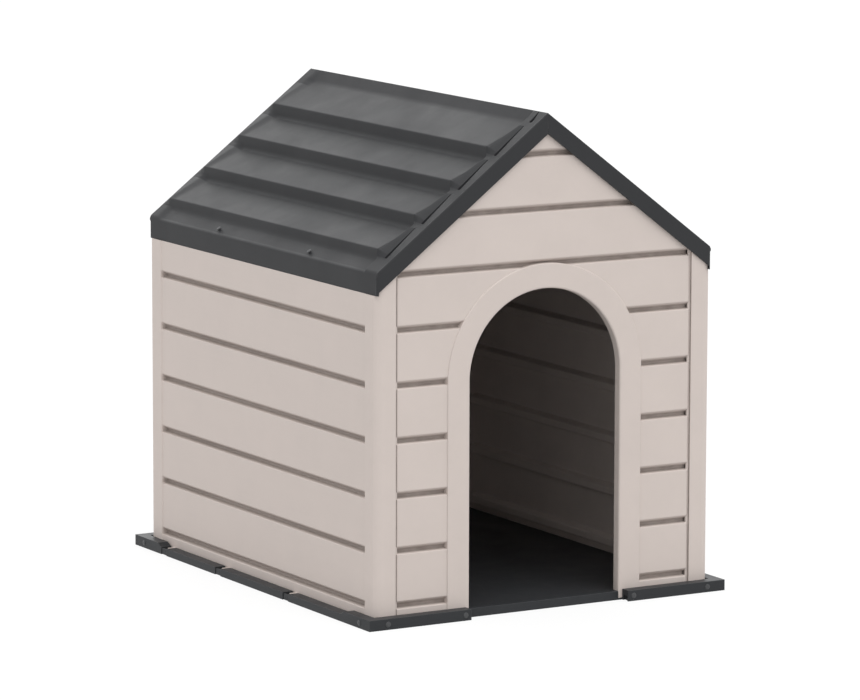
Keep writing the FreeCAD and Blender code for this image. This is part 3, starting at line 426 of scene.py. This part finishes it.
def side_wall_fittings():
    """What the left wall has inside: foot rim, keepers behind the posts, the ledge with its sloping
    flange under the eave, and the tabs that stand in the notches of the tray."""
    face = -WALL_X + RECESS
    inner = LEDGE_X - WALL_SKIN
    tip = LEDGE_X - 0.025
    lower = WALL_SKIN / math.cos(SLOPE)
    keeper = WALL_Y - 2 * WALL_SKIN - 2 * FIT_GAP
    ledge = [(face + 0.001, EAVE_BOTTOM - WALL_SKIN), (face + 0.001, EAVE_BOTTOM - 0.0001),
             (-LEDGE_X, EAVE_BOTTOM - 0.0001),
             (-LEDGE_X, under_roof(LEDGE_X)), (-tip, under_roof(tip)),
             (-tip, under_roof(tip) - lower), (-inner, under_roof(inner) - lower),
             (-inner, EAVE_BOTTOM - WALL_SKIN)]
    foot = [(face + 0.001, FOOT_Z), (-WALL_X + POST_ROUND, FOOT_Z),
            (-WALL_X + POST_ROUND, FOOT_Z + 0.003), (face + 0.001, FOOT_Z + 0.003)]
    parts = [bar(along_y(ledge, -keeper + 0.003, keeper - 0.003)),
             bar(along_y(foot, -WALL_Y + POST_FRONT, WALL_Y - POST_BACK))]
    for way in (-1, 1):
        near, far = -WALL_X + WALL_SKIN / 2, -WALL_X + WALL_SKIN + 0.021
        plan = [(near, way * keeper), (far, way * keeper), (far, way * (keeper - 0.003)),
                (near, way * (keeper - 0.003))]
        parts.append(bar(upright(plan, FOOT_Z, EAVE_BOTTOM - WALL_SKIN)))
    for middle in NOTCH_PLACES:
        plan = [(-WALL_X - 0.008, middle - 0.006), (face + 0.001, middle - 0.006),
                (face + 0.001, middle + 0.006), (-WALL_X - 0.008, middle + 0.006)]
        parts.append(bar(upright(plan, FOOT_Z, FOOT_Z + 0.007)))
    return parts


# The wall plastic has shade painted into its grooves and along its seams.
wall_plastic = moulded_plastic("wall_plastic", WALL_COLOUR, WALL_EDGE_COLOUR, 0.55, 0.025, 0.00015,
                               0.0016, (("Specular IOR Level", 0.3),), GROOVE_PAINTED_SHADE)
# A darker copy of the wall plastic for the inner faces: painted shade of the shadowed inside.
inside_shaded_plastic = moulded_plastic("inside_shaded_plastic", INSIDE_SHADED_COLOUR, INSIDE_SHADED_COLOUR, 0.7, 0.05, 0.0002,
                                 0.001, (("Specular IOR Level", 0.2),))
left_parts = side_wall_parts() + side_wall_fittings()
new_piece("left_wall_moulding", left_parts, (wall_plastic, inside_shaded_plastic),
          "left_wall")
new_piece("right_wall_moulding", turned(left_parts), (wall_plastic, inside_shaded_plastic),
          "right_wall")


# ---------------------------------------------------------------- end walls
# Gabled beige panels whose tongues slide in behind the corner posts. The front one has an arched
# doorway with a smooth raised band round it, which turns in at the opening as a jamb.

PANEL_X = 0.26275
DOOR_HALF, DOOR_TOP, TRIM_WIDTH = 0.135, 0.502, 0.039
ARCH_Z = DOOR_TOP - DOOR_HALF
ALL_GROOVES = 9
TRIM_HIDE = 0.015
RIM_REACH = 0.015


def end_wall_panel(doorway):
    """Front panel: rows at steady heights, each from the doorway's band out to the panel's edge on
    both sides. Both grids are pushed back by the depth of the grooves."""
    apex = under_roof(0.0) - 0.0008
    z = groove_heights(FOOT_Z, apex, ALL_GROOVES)
    out_x = np.minimum(PANEL_X, (under_roof(0.0) - z) / math.tan(SLOPE))
    band = DOOR_HALF + TRIM_HIDE if doorway else 0.0
    above = np.clip(z - ARCH_Z, 0.0, band)
    in_x = np.maximum(np.sqrt(band ** 2 - above ** 2), np.minimum(0.005, out_x * 0.3))
    share = stations(0.0, (0.94, 12), (1.0, 6))
    half = in_x[:, None] + (out_x - in_x)[:, None] * share
    x = np.concatenate([-half[:, ::-1], half], axis=1)
    height = np.repeat(z[:, None], x.shape[1], axis=1)
    to_edge = np.clip(PANEL_X - np.abs(x), 0.0, EDGE_ROUND)
    curl = EDGE_ROUND - np.sqrt(EDGE_ROUND ** 2 - (EDGE_ROUND - to_edge) ** 2)
    front = -WALL_Y + RECESS + curl + groove_depth(height, ALL_GROOVES)
    back = -WALL_Y + RECESS + WALL_SKIN + groove_depth(height, ALL_GROOVES, WALL_SKIN)
    outer = np.stack([x, front, height], -1)
    inner = np.stack([x, back, height], -1)
    keep = np.ones((len(z) - 1, x.shape[1] - 1), bool)
    if doorway:
        keep[z[1:] < ARCH_Z + band, len(share) - 1] = False
    # Painted shade: deeper in the grooves and on the rounded panel edges at the seams.
    painted_shade = np.maximum(groove_depth(height, ALL_GROOVES) / GROOVE_DEPTH, curl / EDGE_ROUND)
    return skin(outer, inner, keep, painted_shade)


def door_band():
    """The doorway's band: a profile of (distance from the opening, depth) carried up the left
    side, round the arch and down the right side."""
    jamb_round, edge_round, deep = 0.003, 0.0012, 0.012
    turn = np.linspace(0, math.pi / 2, 6)
    away = np.concatenate([[0.0], jamb_round * (1 - np.cos(turn)),
                           TRIM_WIDTH - edge_round * (1 - np.sin(turn)), [TRIM_WIDTH],
                           [WALL_SKIN, WALL_SKIN]])
    depth = np.concatenate([[RIM_REACH], jamb_round * (1 - np.sin(turn)),
                            edge_round * (1 - np.cos(turn)), [deep], [deep, RIM_REACH]])
    climb = stations(FOOT_Z, (ARCH_Z, 14))[:-1]
    angle = np.linspace(math.pi, 0.0, 61)
    centre_z = np.concatenate([climb, np.full(len(angle), ARCH_Z), climb[::-1]])
    angle = np.concatenate([np.full(len(climb), math.pi), angle, np.zeros(len(climb))])
    radius = DOOR_HALF + away
    x = radius * np.cos(angle)[:, None]
    z = centre_z[:, None] + radius * np.sin(angle)[:, None]
    y = np.repeat((-WALL_Y + depth)[None, :], len(angle), axis=0)
    return bar(np.stack([x, y, z], -1))


def end_wall_fittings():
    """Tongues at both sides and the rim under the roof."""
    near = -WALL_Y + WALL_SKIN + FIT_GAP
    parts = []
    for way in (-1, 1):
        root, tip = way * (PANEL_X - 0.0015), way * (PANEL_X + 0.020)
        plan = [(root, near), (tip, near), (tip, near + WALL_SKIN), (root, near + WALL_SKIN)]
        tongue = upright(plan, FOOT_Z, 0.0)
        tongue[1, :, 2] = under_roof(np.abs(tongue[1, :, 0]))
        parts.append(bar(tongue))
        drop = 0.003 / math.cos(SLOPE)
        rim = [(0.0, under_roof(0.0)), (way * PANEL_X, under_roof(PANEL_X)),
               (way * PANEL_X, under_roof(PANEL_X) - drop), (0.0, under_roof(0.0) - drop)]
        parts.append(bar(along_y(rim, -WALL_Y + RECESS + 0.001, -WALL_Y + RIM_REACH)))
    return parts


def foot_rim(start, end):
    """Rim along the foot of an end wall, between two places."""
    outline = [(start, FOOT_Z), (end, FOOT_Z), (end, FOOT_Z + 0.003), (start, FOOT_Z + 0.003)]
    return bar(along_y(outline, -WALL_Y + RECESS + 0.001, -WALL_Y + RIM_REACH))


front_parts = [end_wall_panel(True), door_band(), foot_rim(-PANEL_X, -DOOR_HALF - 0.002),
               foot_rim(DOOR_HALF + 0.002, PANEL_X)] + end_wall_fittings()
new_piece("front_wall_moulding", front_parts, (wall_plastic, inside_shaded_plastic),
          "front_wall")
rear_parts = turned([end_wall_panel(False), foot_rim(-PANEL_X, PANEL_X)] + end_wall_fittings())
new_piece("rear_wall_moulding", rear_parts, (wall_plastic, inside_shaded_plastic),
          "rear_wall")


# ---------------------------------------------------------------- notch webs
# Low dark webs with a rounded top that close the notches of the tray's side kerbs towards the
# outside, in front of the walls' tabs: dark sheets put in for the shade inside the notches.

WEB_OUT, WEB_THICK, WEB_TOP, WEB_HALF = WALL_X + 0.0177, 0.0025, 0.0105, 0.0068


def notch_shade_webs():
    """Webs of the left kerb, dark stand-ins for the shade in its notches: an upright with a
    half-round top, drawn along each notch.
    """
    turn = np.linspace(0, math.pi, 9)
    x = -WEB_OUT + WEB_THICK / 2 - WEB_THICK / 2 * np.cos(turn)
    z = WEB_TOP - WEB_THICK / 2 * (1 - np.sin(turn))
    outline = [(-WEB_OUT, 0.0006), *zip(x, z), (-WEB_OUT + WEB_THICK, 0.0006)]
    return [bar(along_y(outline, middle - WEB_HALF, middle + WEB_HALF))
            for middle in NOTCH_PLACES]


# Dark tray plastic put in the notches where there is only shade.
new_piece("tray_notch_shade_webs", notch_shade_webs() + turned(notch_shade_webs()), (tray_plastic,),
          bevel=0)


# ---------------------------------------------------------------- push pegs
# Smooth dark plastic pegs with low domed heads. They go through the kerb into the feet of the walls
# and hold the walls down on the tray.

PEG_COLOUR = (0.060, 0.062, 0.065, 1.0)
PEG_EDGE_COLOUR = (0.12, 0.12, 0.125, 1.0)


def turned_pin(base, axis, head_radius, head_rise, shank_radius, shank_length):
    """A pin turned about its axis: a plain shank, the underside of the head, its rounded rim and a
    low dome with a dimple. The profile is (radius, distance along the axis from its seat)."""
    turn = np.linspace(0, math.pi / 2, 6)
    rim = head_rise * 0.6
    dome = np.linspace(head_radius - rim, head_radius * 0.25, 5)
    radius = np.concatenate([[shank_radius * 0.7, shank_radius, shank_radius, head_radius],
                             head_radius - rim * (1 - np.cos(turn)), dome[1:],
                             [head_radius * 0.2, head_radius * 0.04]])
    crown = head_rise * 0.4 * (1 - ((dome - dome[-1]) / (dome[0] - dome[-1])) ** 2)
    along = np.concatenate([[-shank_length, -shank_length + 0.001, 0.0, 0.0], rim * np.sin(turn),
                            rim + crown[1:], [head_rise * 0.8, head_rise * 0.75]])
    axis = np.array(axis, float) / np.linalg.norm(axis)
    aside = np.cross(axis, (0.0, 1.0, 0.0) if abs(axis[1]) < 0.9 else (1.0, 0.0, 0.0))
    aside /= np.linalg.norm(aside)
    third = np.cross(axis, aside)
    angle = np.linspace(0, 2 * math.pi, 24, endpoint=False)
    around = np.cos(angle)[:, None] * aside + np.sin(angle)[:, None] * third
    return bar(np.array(base) + along[:, None, None] * axis
               + radius[:, None, None] * around[None, :, :])


peg_plastic = moulded_plastic("peg_plastic", PEG_COLOUR, PEG_EDGE_COLOUR, 0.36, 0.04, 0.00003,
                              0.0005, (("Specular IOR Level", 0.35),))
TRAY_X, TRAY_Y = WALL_X + 0.0185, WALL_Y + 0.0185
PEG_Z = 0.0085
PEG_DOOR, PEG_CORNER, PEG_SIDE = 0.152, 0.289, 0.361
PEG = dict(head_radius=0.0045, head_rise=0.0015, shank_radius=0.0025, shank_length=0.025)
for name, way in (("front_pegs", -1), ("rear_pegs", 1)):
    pins = [turned_pin((x, way * TRAY_Y, PEG_Z), (0, way, 0), **PEG)
            for x in (-PEG_CORNER, -PEG_DOOR, PEG_DOOR, PEG_CORNER)]
    new_piece(name + "_group", pins, (peg_plastic,), name, bevel=0)
for name, way in (("left_pegs", -1), ("right_pegs", 1)):
    pins = [turned_pin((way * TRAY_X, y, PEG_Z), (way, 0, 0), **PEG) for y in (-PEG_SIDE, PEG_SIDE)]
    new_piece(name + "_group", pins, (peg_plastic,), name, bevel=0)


# ---------------------------------------------------------------- roof halves
# Two graphite mouldings that hook together under the ridge: a deck with four courses whose treads
# sink below the flat borders and whose lips rise above them, a fascia and a skirt over each gable.

ROOF_COLOUR = (0.038, 0.0388, 0.041, 1.0)
ROOF_EDGE_COLOUR = (0.10, 0.10, 0.105, 1.0)
RAKE_Y = WALL_Y + FIT_GAP + 0.003
RAKE_SKIN, RAKE_DROP = 0.003, 0.032
RAKE_ROUND, CORNER_ROUND = 0.002, 0.006
COURSE_COUNT, COURSE_PITCH, FIRST_LIP = 4, 0.080, 0.098
LIP_HEIGHT, FOOT_DEPTH, STRIP_DEPTH = 0.010, 0.007, 0.003
RIDGE_BAND = 0.023
LIP_ROUND, FOOT_ROUND = 0.0022, 0.0050
FLANK_START, FLANK_END, WALL_START, WALL_RUN = 0.0245, 0.0440, 0.0405, 0.0030
REAR_START, REAR_END, REAR_SINK, REAR_FLAT = 0.0025, 0.0245, 0.0185, 0.046
FRONT_FLAT = 0.048
SLOT_START, SLOT_LENGTH, SLOT_SIDE = 0.017, 0.069, 0.0004
SLOT_PLACE, SLOT_DRIFT, SLOT_HALF, SLOT_WIDEN = 0.0270, 0.0065, 0.0010, 0.0026
SLOT_DEPTH, SLOT_DEEPEN, SLOT_REACH, SLOT_SKIN = 0.0060, 0.0060, 0.008, 0.0095
EAVE_ROUND = 0.010
EAVE_TANGENT = EAVE_ROUND * (1 - math.sin(SLOPE)) / math.cos(SLOPE)
SLOPE_LENGTH = EAVE_X / math.cos(SLOPE)
ROOF_JOINT = 0.00015


def bent(corners, reach, steps=6):
    """A line through corners whose bends are rounded: each bend is a parabola that starts and ends
    at a reach from its corner. Corners are rows of two coordinates, reach has one value a bend."""
    before, at, after = corners[:-2], corners[1:-1], corners[2:]
    back = (before - at) / np.linalg.norm(before - at, axis=1, keepdims=True)
    ahead = (after - at) / np.linalg.norm(after - at, axis=1, keepdims=True)
    t = np.linspace(0, 1, steps)[None, :, None]
    start, end = (at + back * reach)[:, None], (at + ahead * reach)[:, None]
    curve = (1 - t) ** 2 * start + 2 * t * (1 - t) * at[:, None] + t ** 2 * end
    return np.concatenate([corners[:1], curve.reshape(-1, 2), corners[-1:]])


def course_line():
    """The courses seen along the ridge, in the slope's frame, as (distance down the slope, height):
    from the ridge down to the foot of the first tread, up to its lip, upright down to the foot of
    the next one and so on, to the strip above the eave."""
    lips = FIRST_LIP + COURSE_PITCH * np.arange(COURSE_COUNT)
    depths = np.full(COURSE_COUNT, FOOT_DEPTH)
    depths[-1] = STRIP_DEPTH
    feet = lips + (LIP_HEIGHT + depths) * math.tan(SLOPE)
    pairs = np.stack([lips, np.full(COURSE_COUNT, LIP_HEIGHT), feet, -depths], -1).reshape(-1, 2)
    corners = np.concatenate([[(ROOF_JOINT / math.cos(SLOPE), 0.0), (RIDGE_BAND, -0.0055)], pairs,
                              [(SLOPE_LENGTH - EAVE_TANGENT, -STRIP_DEPTH)]])
    reach = np.full((len(corners) - 2, 1), FOOT_ROUND)
    reach[1::2] = LIP_ROUND
    return bent(corners, reach)


def roof_rows():
    """The whole profile from the ridge to the eave's foot: points (x, z) of the border's plane,
    of the rounded eave and of the fascia, the directions that point out of them, the height of
    the courses there, the distance down the slope and 1 for the rows of the fascia."""
    line = course_line()
    slots = SLOT_START + np.array([0.0, 0.0005, SLOT_LENGTH, SLOT_LENGTH + 0.0005])
    slots = slots + FIRST_LIP - COURSE_PITCH + COURSE_PITCH * np.arange(COURSE_COUNT)[:, None]
    along = np.unique(np.round(np.concatenate([line[:, 0], slots.ravel()]), 7))
    height = np.interp(along, line[:, 0], line[:, 1])
    turn = np.linspace(0, math.pi / 2 - SLOPE, 9)[1:]
    fall = stations(EAVE_Z - EAVE_TANGENT, (EAVE_BOTTOM, 6))[1:]
    centre_x, centre_z = EAVE_X - EAVE_ROUND, EAVE_Z - EAVE_TANGENT
    out_x = np.concatenate([np.full(len(along), math.sin(SLOPE)), np.sin(SLOPE + turn),
                            np.ones(len(fall))])
    out_z = np.concatenate([np.full(len(along), math.cos(SLOPE)), np.cos(SLOPE + turn),
                            np.zeros(len(fall))])
    x = np.concatenate([along * math.cos(SLOPE), centre_x + EAVE_ROUND * np.sin(SLOPE + turn),
                        np.full(len(fall), EAVE_X)])
    z = np.concatenate([RIDGE_Z - along * math.sin(SLOPE),
                        centre_z + EAVE_ROUND * np.cos(SLOPE + turn), fall])
    fade = -STRIP_DEPTH * np.cos(turn / turn[-1] * math.pi / 2) ** 2
    height = np.concatenate([height, fade, fall * 0])
    on_fascia = np.concatenate([np.zeros(len(along) + len(turn)), np.ones(len(fall))])
    along = np.concatenate([along, np.full(len(turn) + len(fall), SLOPE_LENGTH)])
    return x, z, out_x, out_z, along, height, on_fascia


def roof_deck():
    """Deck and fascia of the right roof half. Rows are the profile's; columns run from the front
    edge to the rear one. The height is the courses' height, faded out towards the flat borders:
    at the front by a long flank where a course stands above the border and by a steep wall where
    it is sunk, at the rear by a flank and a soft S-curve. Tapering slots lie beside the front
    flanks."""
    x, z, out_x, out_z, along, height, on_fascia = roof_rows()
    part = (along - FIRST_LIP + COURSE_PITCH - SLOT_START) % COURSE_PITCH
    last_lip = FIRST_LIP + COURSE_PITCH * (COURSE_COUNT - 1)
    slotted = (along > FIRST_LIP - COURSE_PITCH) & (along <= last_lip + 0.01)
    taper = np.clip(part / SLOT_LENGTH, 0, 1) * slotted
    inside = slotted & (part > 0.0004) & (part < SLOT_LENGTH + 0.0002)
    middle = SLOT_PLACE - SLOT_DRIFT * taper
    half = SLOT_HALF + SLOT_WIDEN * taper
    deep = np.where(inside, SLOT_DEPTH + SLOT_DEEPEN * taper, 0.0)
    edge = np.where(on_fascia > 0, CORNER_ROUND, RAKE_ROUND)
    flat = along * 0
    front = [edge, edge * 0.5 + (middle - half) * 0.5, middle - half - SLOT_SIDE, middle - half,
             middle + half, middle + half + SLOT_SIDE]
    front += [flat + place for place in (0.0345, 0.0375, 0.0400, 0.0405, 0.0412, 0.0420, 0.0428,
                                         0.0435, 0.0440, 0.0446, FRONT_FLAT)]
    rear = [edge] + [flat + place for place in (0.0055, 0.0080, 0.0105, 0.0130, 0.0155, 0.0185,
                                                0.0215, 0.0245, 0.0275, 0.0305, 0.0335, 0.0365,
                                                0.0400, REAR_FLAT)]
    start, end = -RAKE_Y + FRONT_FLAT, RAKE_Y - REAR_FLAT
    columns = [-RAKE_Y + away for away in front]
    columns += [flat + start + (end - start) * share for share in np.linspace(0, 1, 14)[1:-1]]
    columns += [RAKE_Y - away for away in rear[::-1]]
    y = np.stack(columns, -1)
    before, behind = y + RAKE_Y, RAKE_Y - y
    tall = height[:, None] > 0
    fade = np.where(tall, np.clip((before - FLANK_START) / (FLANK_END - FLANK_START), 0, 1),
                    rise(before - WALL_START, WALL_RUN, 0.0008))
    sink = np.clip((behind - REAR_SINK) / (REAR_FLAT - REAR_SINK), 0, 1)
    fade = fade * np.where(tall, np.clip((behind - REAR_START) / (REAR_END - REAR_START), 0, 1),
                           sink ** 2 * (3 - 2 * sink))
    h = height[:, None] * fade
    h[:, 3] = h[:, 4] = -deep
    by_slot = np.abs(before - SLOT_PLACE + SLOT_DRIFT / 2) < SLOT_REACH
    skin_depth = np.where(by_slot, SLOT_SKIN, 0.0) * (1 - on_fascia)[:, None]
    under = np.minimum(h - ROOF_SKIN * 0.35, -ROOF_SKIN) - skin_depth
    under = np.where((h < -STRIP_DEPTH) & (skin_depth == 0), h - ROOF_SKIN, under)
    under = np.where(h > 0.001, np.maximum(h - ROOF_SKIN * 1.2, -ROOF_SKIN - skin_depth), under)
    under = np.where(on_fascia[:, None] > 0, -FASCIA_SKIN, under)
    x, z, out_x, out_z = (row[:, None] for row in (x, z, out_x, out_z))
    outer = np.stack([x + out_x * h, y, z + out_z * h], -1)
    inner = np.stack([x + out_x * under, y, z + out_z * under], -1)
    return skin(outer, inner)


def gable_skirt(way):
    """Skirt over a gable: a plate that hangs upright from the slope. Its outer face bends in at
    the top edge and round the upright corner at the eave. Way is -1 at the front."""
    x = stations(ROOF_JOINT, (EAVE_X - EAVE_ROUND, 24), (EAVE_X - FASCIA_SKIN, 6), (EAVE_X, 14))
    arc = np.sqrt(np.maximum(EAVE_ROUND ** 2 - (x - EAVE_X + EAVE_ROUND) ** 2, 0))
    top = np.where(x > EAVE_X - EAVE_ROUND * (1 - math.sin(SLOPE)), EAVE_Z - EAVE_TANGENT + arc,
                   RIDGE_Z - x * math.tan(SLOPE))
    low = np.where(x > EAVE_X - FASCIA_SKIN, EAVE_BOTTOM, RIDGE_Z - x * math.tan(SLOPE) - RAKE_DROP)
    turn = np.linspace(0, math.pi / 2, 8)
    fall = RAKE_ROUND * (1 - np.cos(turn))
    share = np.linspace(0, 1, 9)[1:]
    drop = np.concatenate([fall, RAKE_ROUND + share * 0])
    z = top[:, None] - drop
    z[:, len(turn):] -= share * (top - RAKE_ROUND - low)[:, None]
    in_top = RAKE_ROUND * (1 - np.sin(turn))
    in_top = np.concatenate([in_top, np.zeros(len(share))])
    round_in = np.clip(x - (EAVE_X - CORNER_ROUND), 0, CORNER_ROUND)
    in_corner = CORNER_ROUND - np.sqrt(CORNER_ROUND ** 2 - round_in ** 2)
    inset = np.maximum(in_top[None, :], in_corner[:, None])
    tuck = 0.00003
    back = np.maximum(RAKE_SKIN, inset + 0.001)
    wide = x[:, None] + z * 0
    outer = np.stack([wide, way * (RAKE_Y - inset), z], -1)
    inner = np.stack([np.minimum(wide, EAVE_X - tuck), way * (RAKE_Y - back), z - tuck], -1)
    return skin(outer, inner)


def ridge_lap():
    """Lap under the ridge, on the right half's rear part, that runs in under the left half."""
    reach, root, thick = 0.014, 0.006, 0.003 / math.cos(SLOPE)
    base = (ROOF_SKIN + FIT_GAP) / math.cos(SLOPE)
    tan = math.tan(SLOPE)
    outline = [(root, RIDGE_Z - root * tan - ROOF_SKIN), (ROOF_JOINT, RIDGE_Z - ROOF_SKIN / 2),
               (ROOF_JOINT, RIDGE_Z - base), (-reach, RIDGE_Z - reach * tan - base),
               (-reach, RIDGE_Z - reach * tan - base - thick), (0.0, RIDGE_Z - base - thick)]
    return bar(along_y(outline, 0.003, 0.345))


roof_plastic = moulded_plastic("roof_plastic", ROOF_COLOUR, ROOF_EDGE_COLOUR, 0.48, 0.05, 0.00015,
                               0.0014, (("Specular IOR Level", 0.13),))
roof_parts = [roof_deck(), gable_skirt(-1), gable_skirt(1)]
lap_parts = [ridge_lap()]
new_piece("roof_right_moulding", roof_parts + lap_parts, (roof_plastic,),
          "roof_right", bevel=0)
new_piece("roof_left_moulding", mirrored(roof_parts) + turned(lap_parts), (roof_plastic,),
          "roof_left", bevel=0)


# ---------------------------------------------------------------- roof pins
# Small pins of the same plastic as the pegs. They go through the eaves into the sloping flanges of
# the side walls, square to the slope.

PIN_INSET, PIN_SPREAD = 0.010, 0.150
PIN = dict(head_radius=0.004, head_rise=0.0012, shank_radius=0.0025, shank_length=0.014)
pin_x = (SLOPE_LENGTH - PIN_INSET) * math.cos(SLOPE)
pin_z = RIDGE_Z - (SLOPE_LENGTH - PIN_INSET) * math.sin(SLOPE)
for name, way in (("left_roof_pins", -1), ("right_roof_pins", 1)):
    pins = [turned_pin((way * pin_x, y, pin_z), (way * math.sin(SLOPE), 0, math.cos(SLOPE)), **PIN)
            for y in (-PIN_SPREAD, PIN_SPREAD)]
    new_piece(name + "_group", pins, (peg_plastic,), name, bevel=0)


# ---------------------------------------------------------------- floor, lamps and camera
# A wide pale floor that is white to the camera but keeps the kennel's shadow, an even white sky, a
# soft sun from the front and a weaker one from behind, and the camera that matches the photograph.

WHITE = (1.0, 1.0, 1.0, 1.0)
FLOOR_COLOUR = (0.55, 0.55, 0.55, 1.0)
FLOOR_HALF, FLOOR_GLOW = 60.0, 0.85
floor_mesh = bpy.data.meshes.new("floor")
floor_mesh.from_pydata([(-FLOOR_HALF, -FLOOR_HALF, 0.0), (FLOOR_HALF, -FLOOR_HALF, 0.0),
                        (FLOOR_HALF, FLOOR_HALF, 0.0), (-FLOOR_HALF, FLOOR_HALF, 0.0)],
                       [], [(0, 1, 2, 3)])
floor = bpy.data.objects.new("floor", floor_mesh)
bpy.context.scene.collection.objects.link(floor)

floor_material = bpy.data.materials.new("pale_floor")
floor_material.use_nodes = True
tree = floor_material.node_tree
matt = tree.nodes["Principled BSDF"]
rays = new_node(tree, "LightPath")
shown = maths(tree, "ADD", rays.outputs["Is Glossy Ray"], rays.outputs["Is Transmission Ray"])
shown = maths(tree, "ADD", rays.outputs["Is Camera Ray"], shown, clamp=True)
tree.links.new(mixed(tree, shown, FLOOR_COLOUR, WHITE), matt.inputs["Base Color"])
matt.inputs["Roughness"].default_value = 0.9
matt.inputs["Specular IOR Level"].default_value = 0.1
white = new_node(tree, "Emission", Color=WHITE, Strength=1.0)
blend = new_node(tree, "MixShader", Fac=maths(tree, "MULTIPLY", shown, FLOOR_GLOW))
tree.links.new(matt.outputs["BSDF"], blend.inputs[1])
tree.links.new(white.outputs["Emission"], blend.inputs[2])
tree.links.new(blend.outputs["Shader"], tree.nodes["Material Output"].inputs["Surface"])
floor_mesh.materials.append(floor_material)

world = bpy.data.worlds.new("studio")
bpy.context.scene.world = world
world.use_nodes = True
sky = world.node_tree.nodes["Background"]
sky.inputs["Color"].default_value = WHITE
sky.inputs["Strength"].default_value = 1.0

for name, strength, spread, came_from in (("front_sun", 1.0, 45, (0.06, -0.40, 1.0)),
                                          ("back_sun", 0.42, 40, (0.25, 0.85, 0.50))):
    sun_data = bpy.data.lights.new(name, "SUN")
    sun_data.energy, sun_data.angle = strength, math.radians(spread)
    sun = bpy.data.objects.new(name, sun_data)
    bpy.context.scene.collection.objects.link(sun)
    sun.rotation_mode = "QUATERNION"
    sun.rotation_quaternion = Vector(came_from).to_track_quat("Z", "Y")

PHOTO_WIDTH = 860
FOCAL_PIXELS = 5156.1
CAMERA_AT = Vector((-4.0771, -7.0688, 1.6501))
YAW, PITCH, ROLL = 0.5243, 0.1575, 0.0025
camera_data = bpy.data.cameras.new("camera")
camera_data.sensor_width = 36.0
camera_data.lens = camera_data.sensor_width * FOCAL_PIXELS / PHOTO_WIDTH
camera_data.clip_start, camera_data.clip_end = 0.1, 200.0
camera = bpy.data.objects.new("camera", camera_data)
bpy.context.scene.collection.objects.link(camera)
look = Vector((math.sin(YAW) * math.cos(PITCH), math.cos(YAW) * math.cos(PITCH), -math.sin(PITCH)))
camera.rotation_mode = "QUATERNION"
camera.location = CAMERA_AT
camera.rotation_quaternion = (look.to_track_quat("-Z", "Y")
                              @ Matrix.Rotation(ROLL, 3, "Z").to_quaternion())
bpy.context.scene.camera = camera
bpy.context.scene.view_settings.view_transform = "Standard"
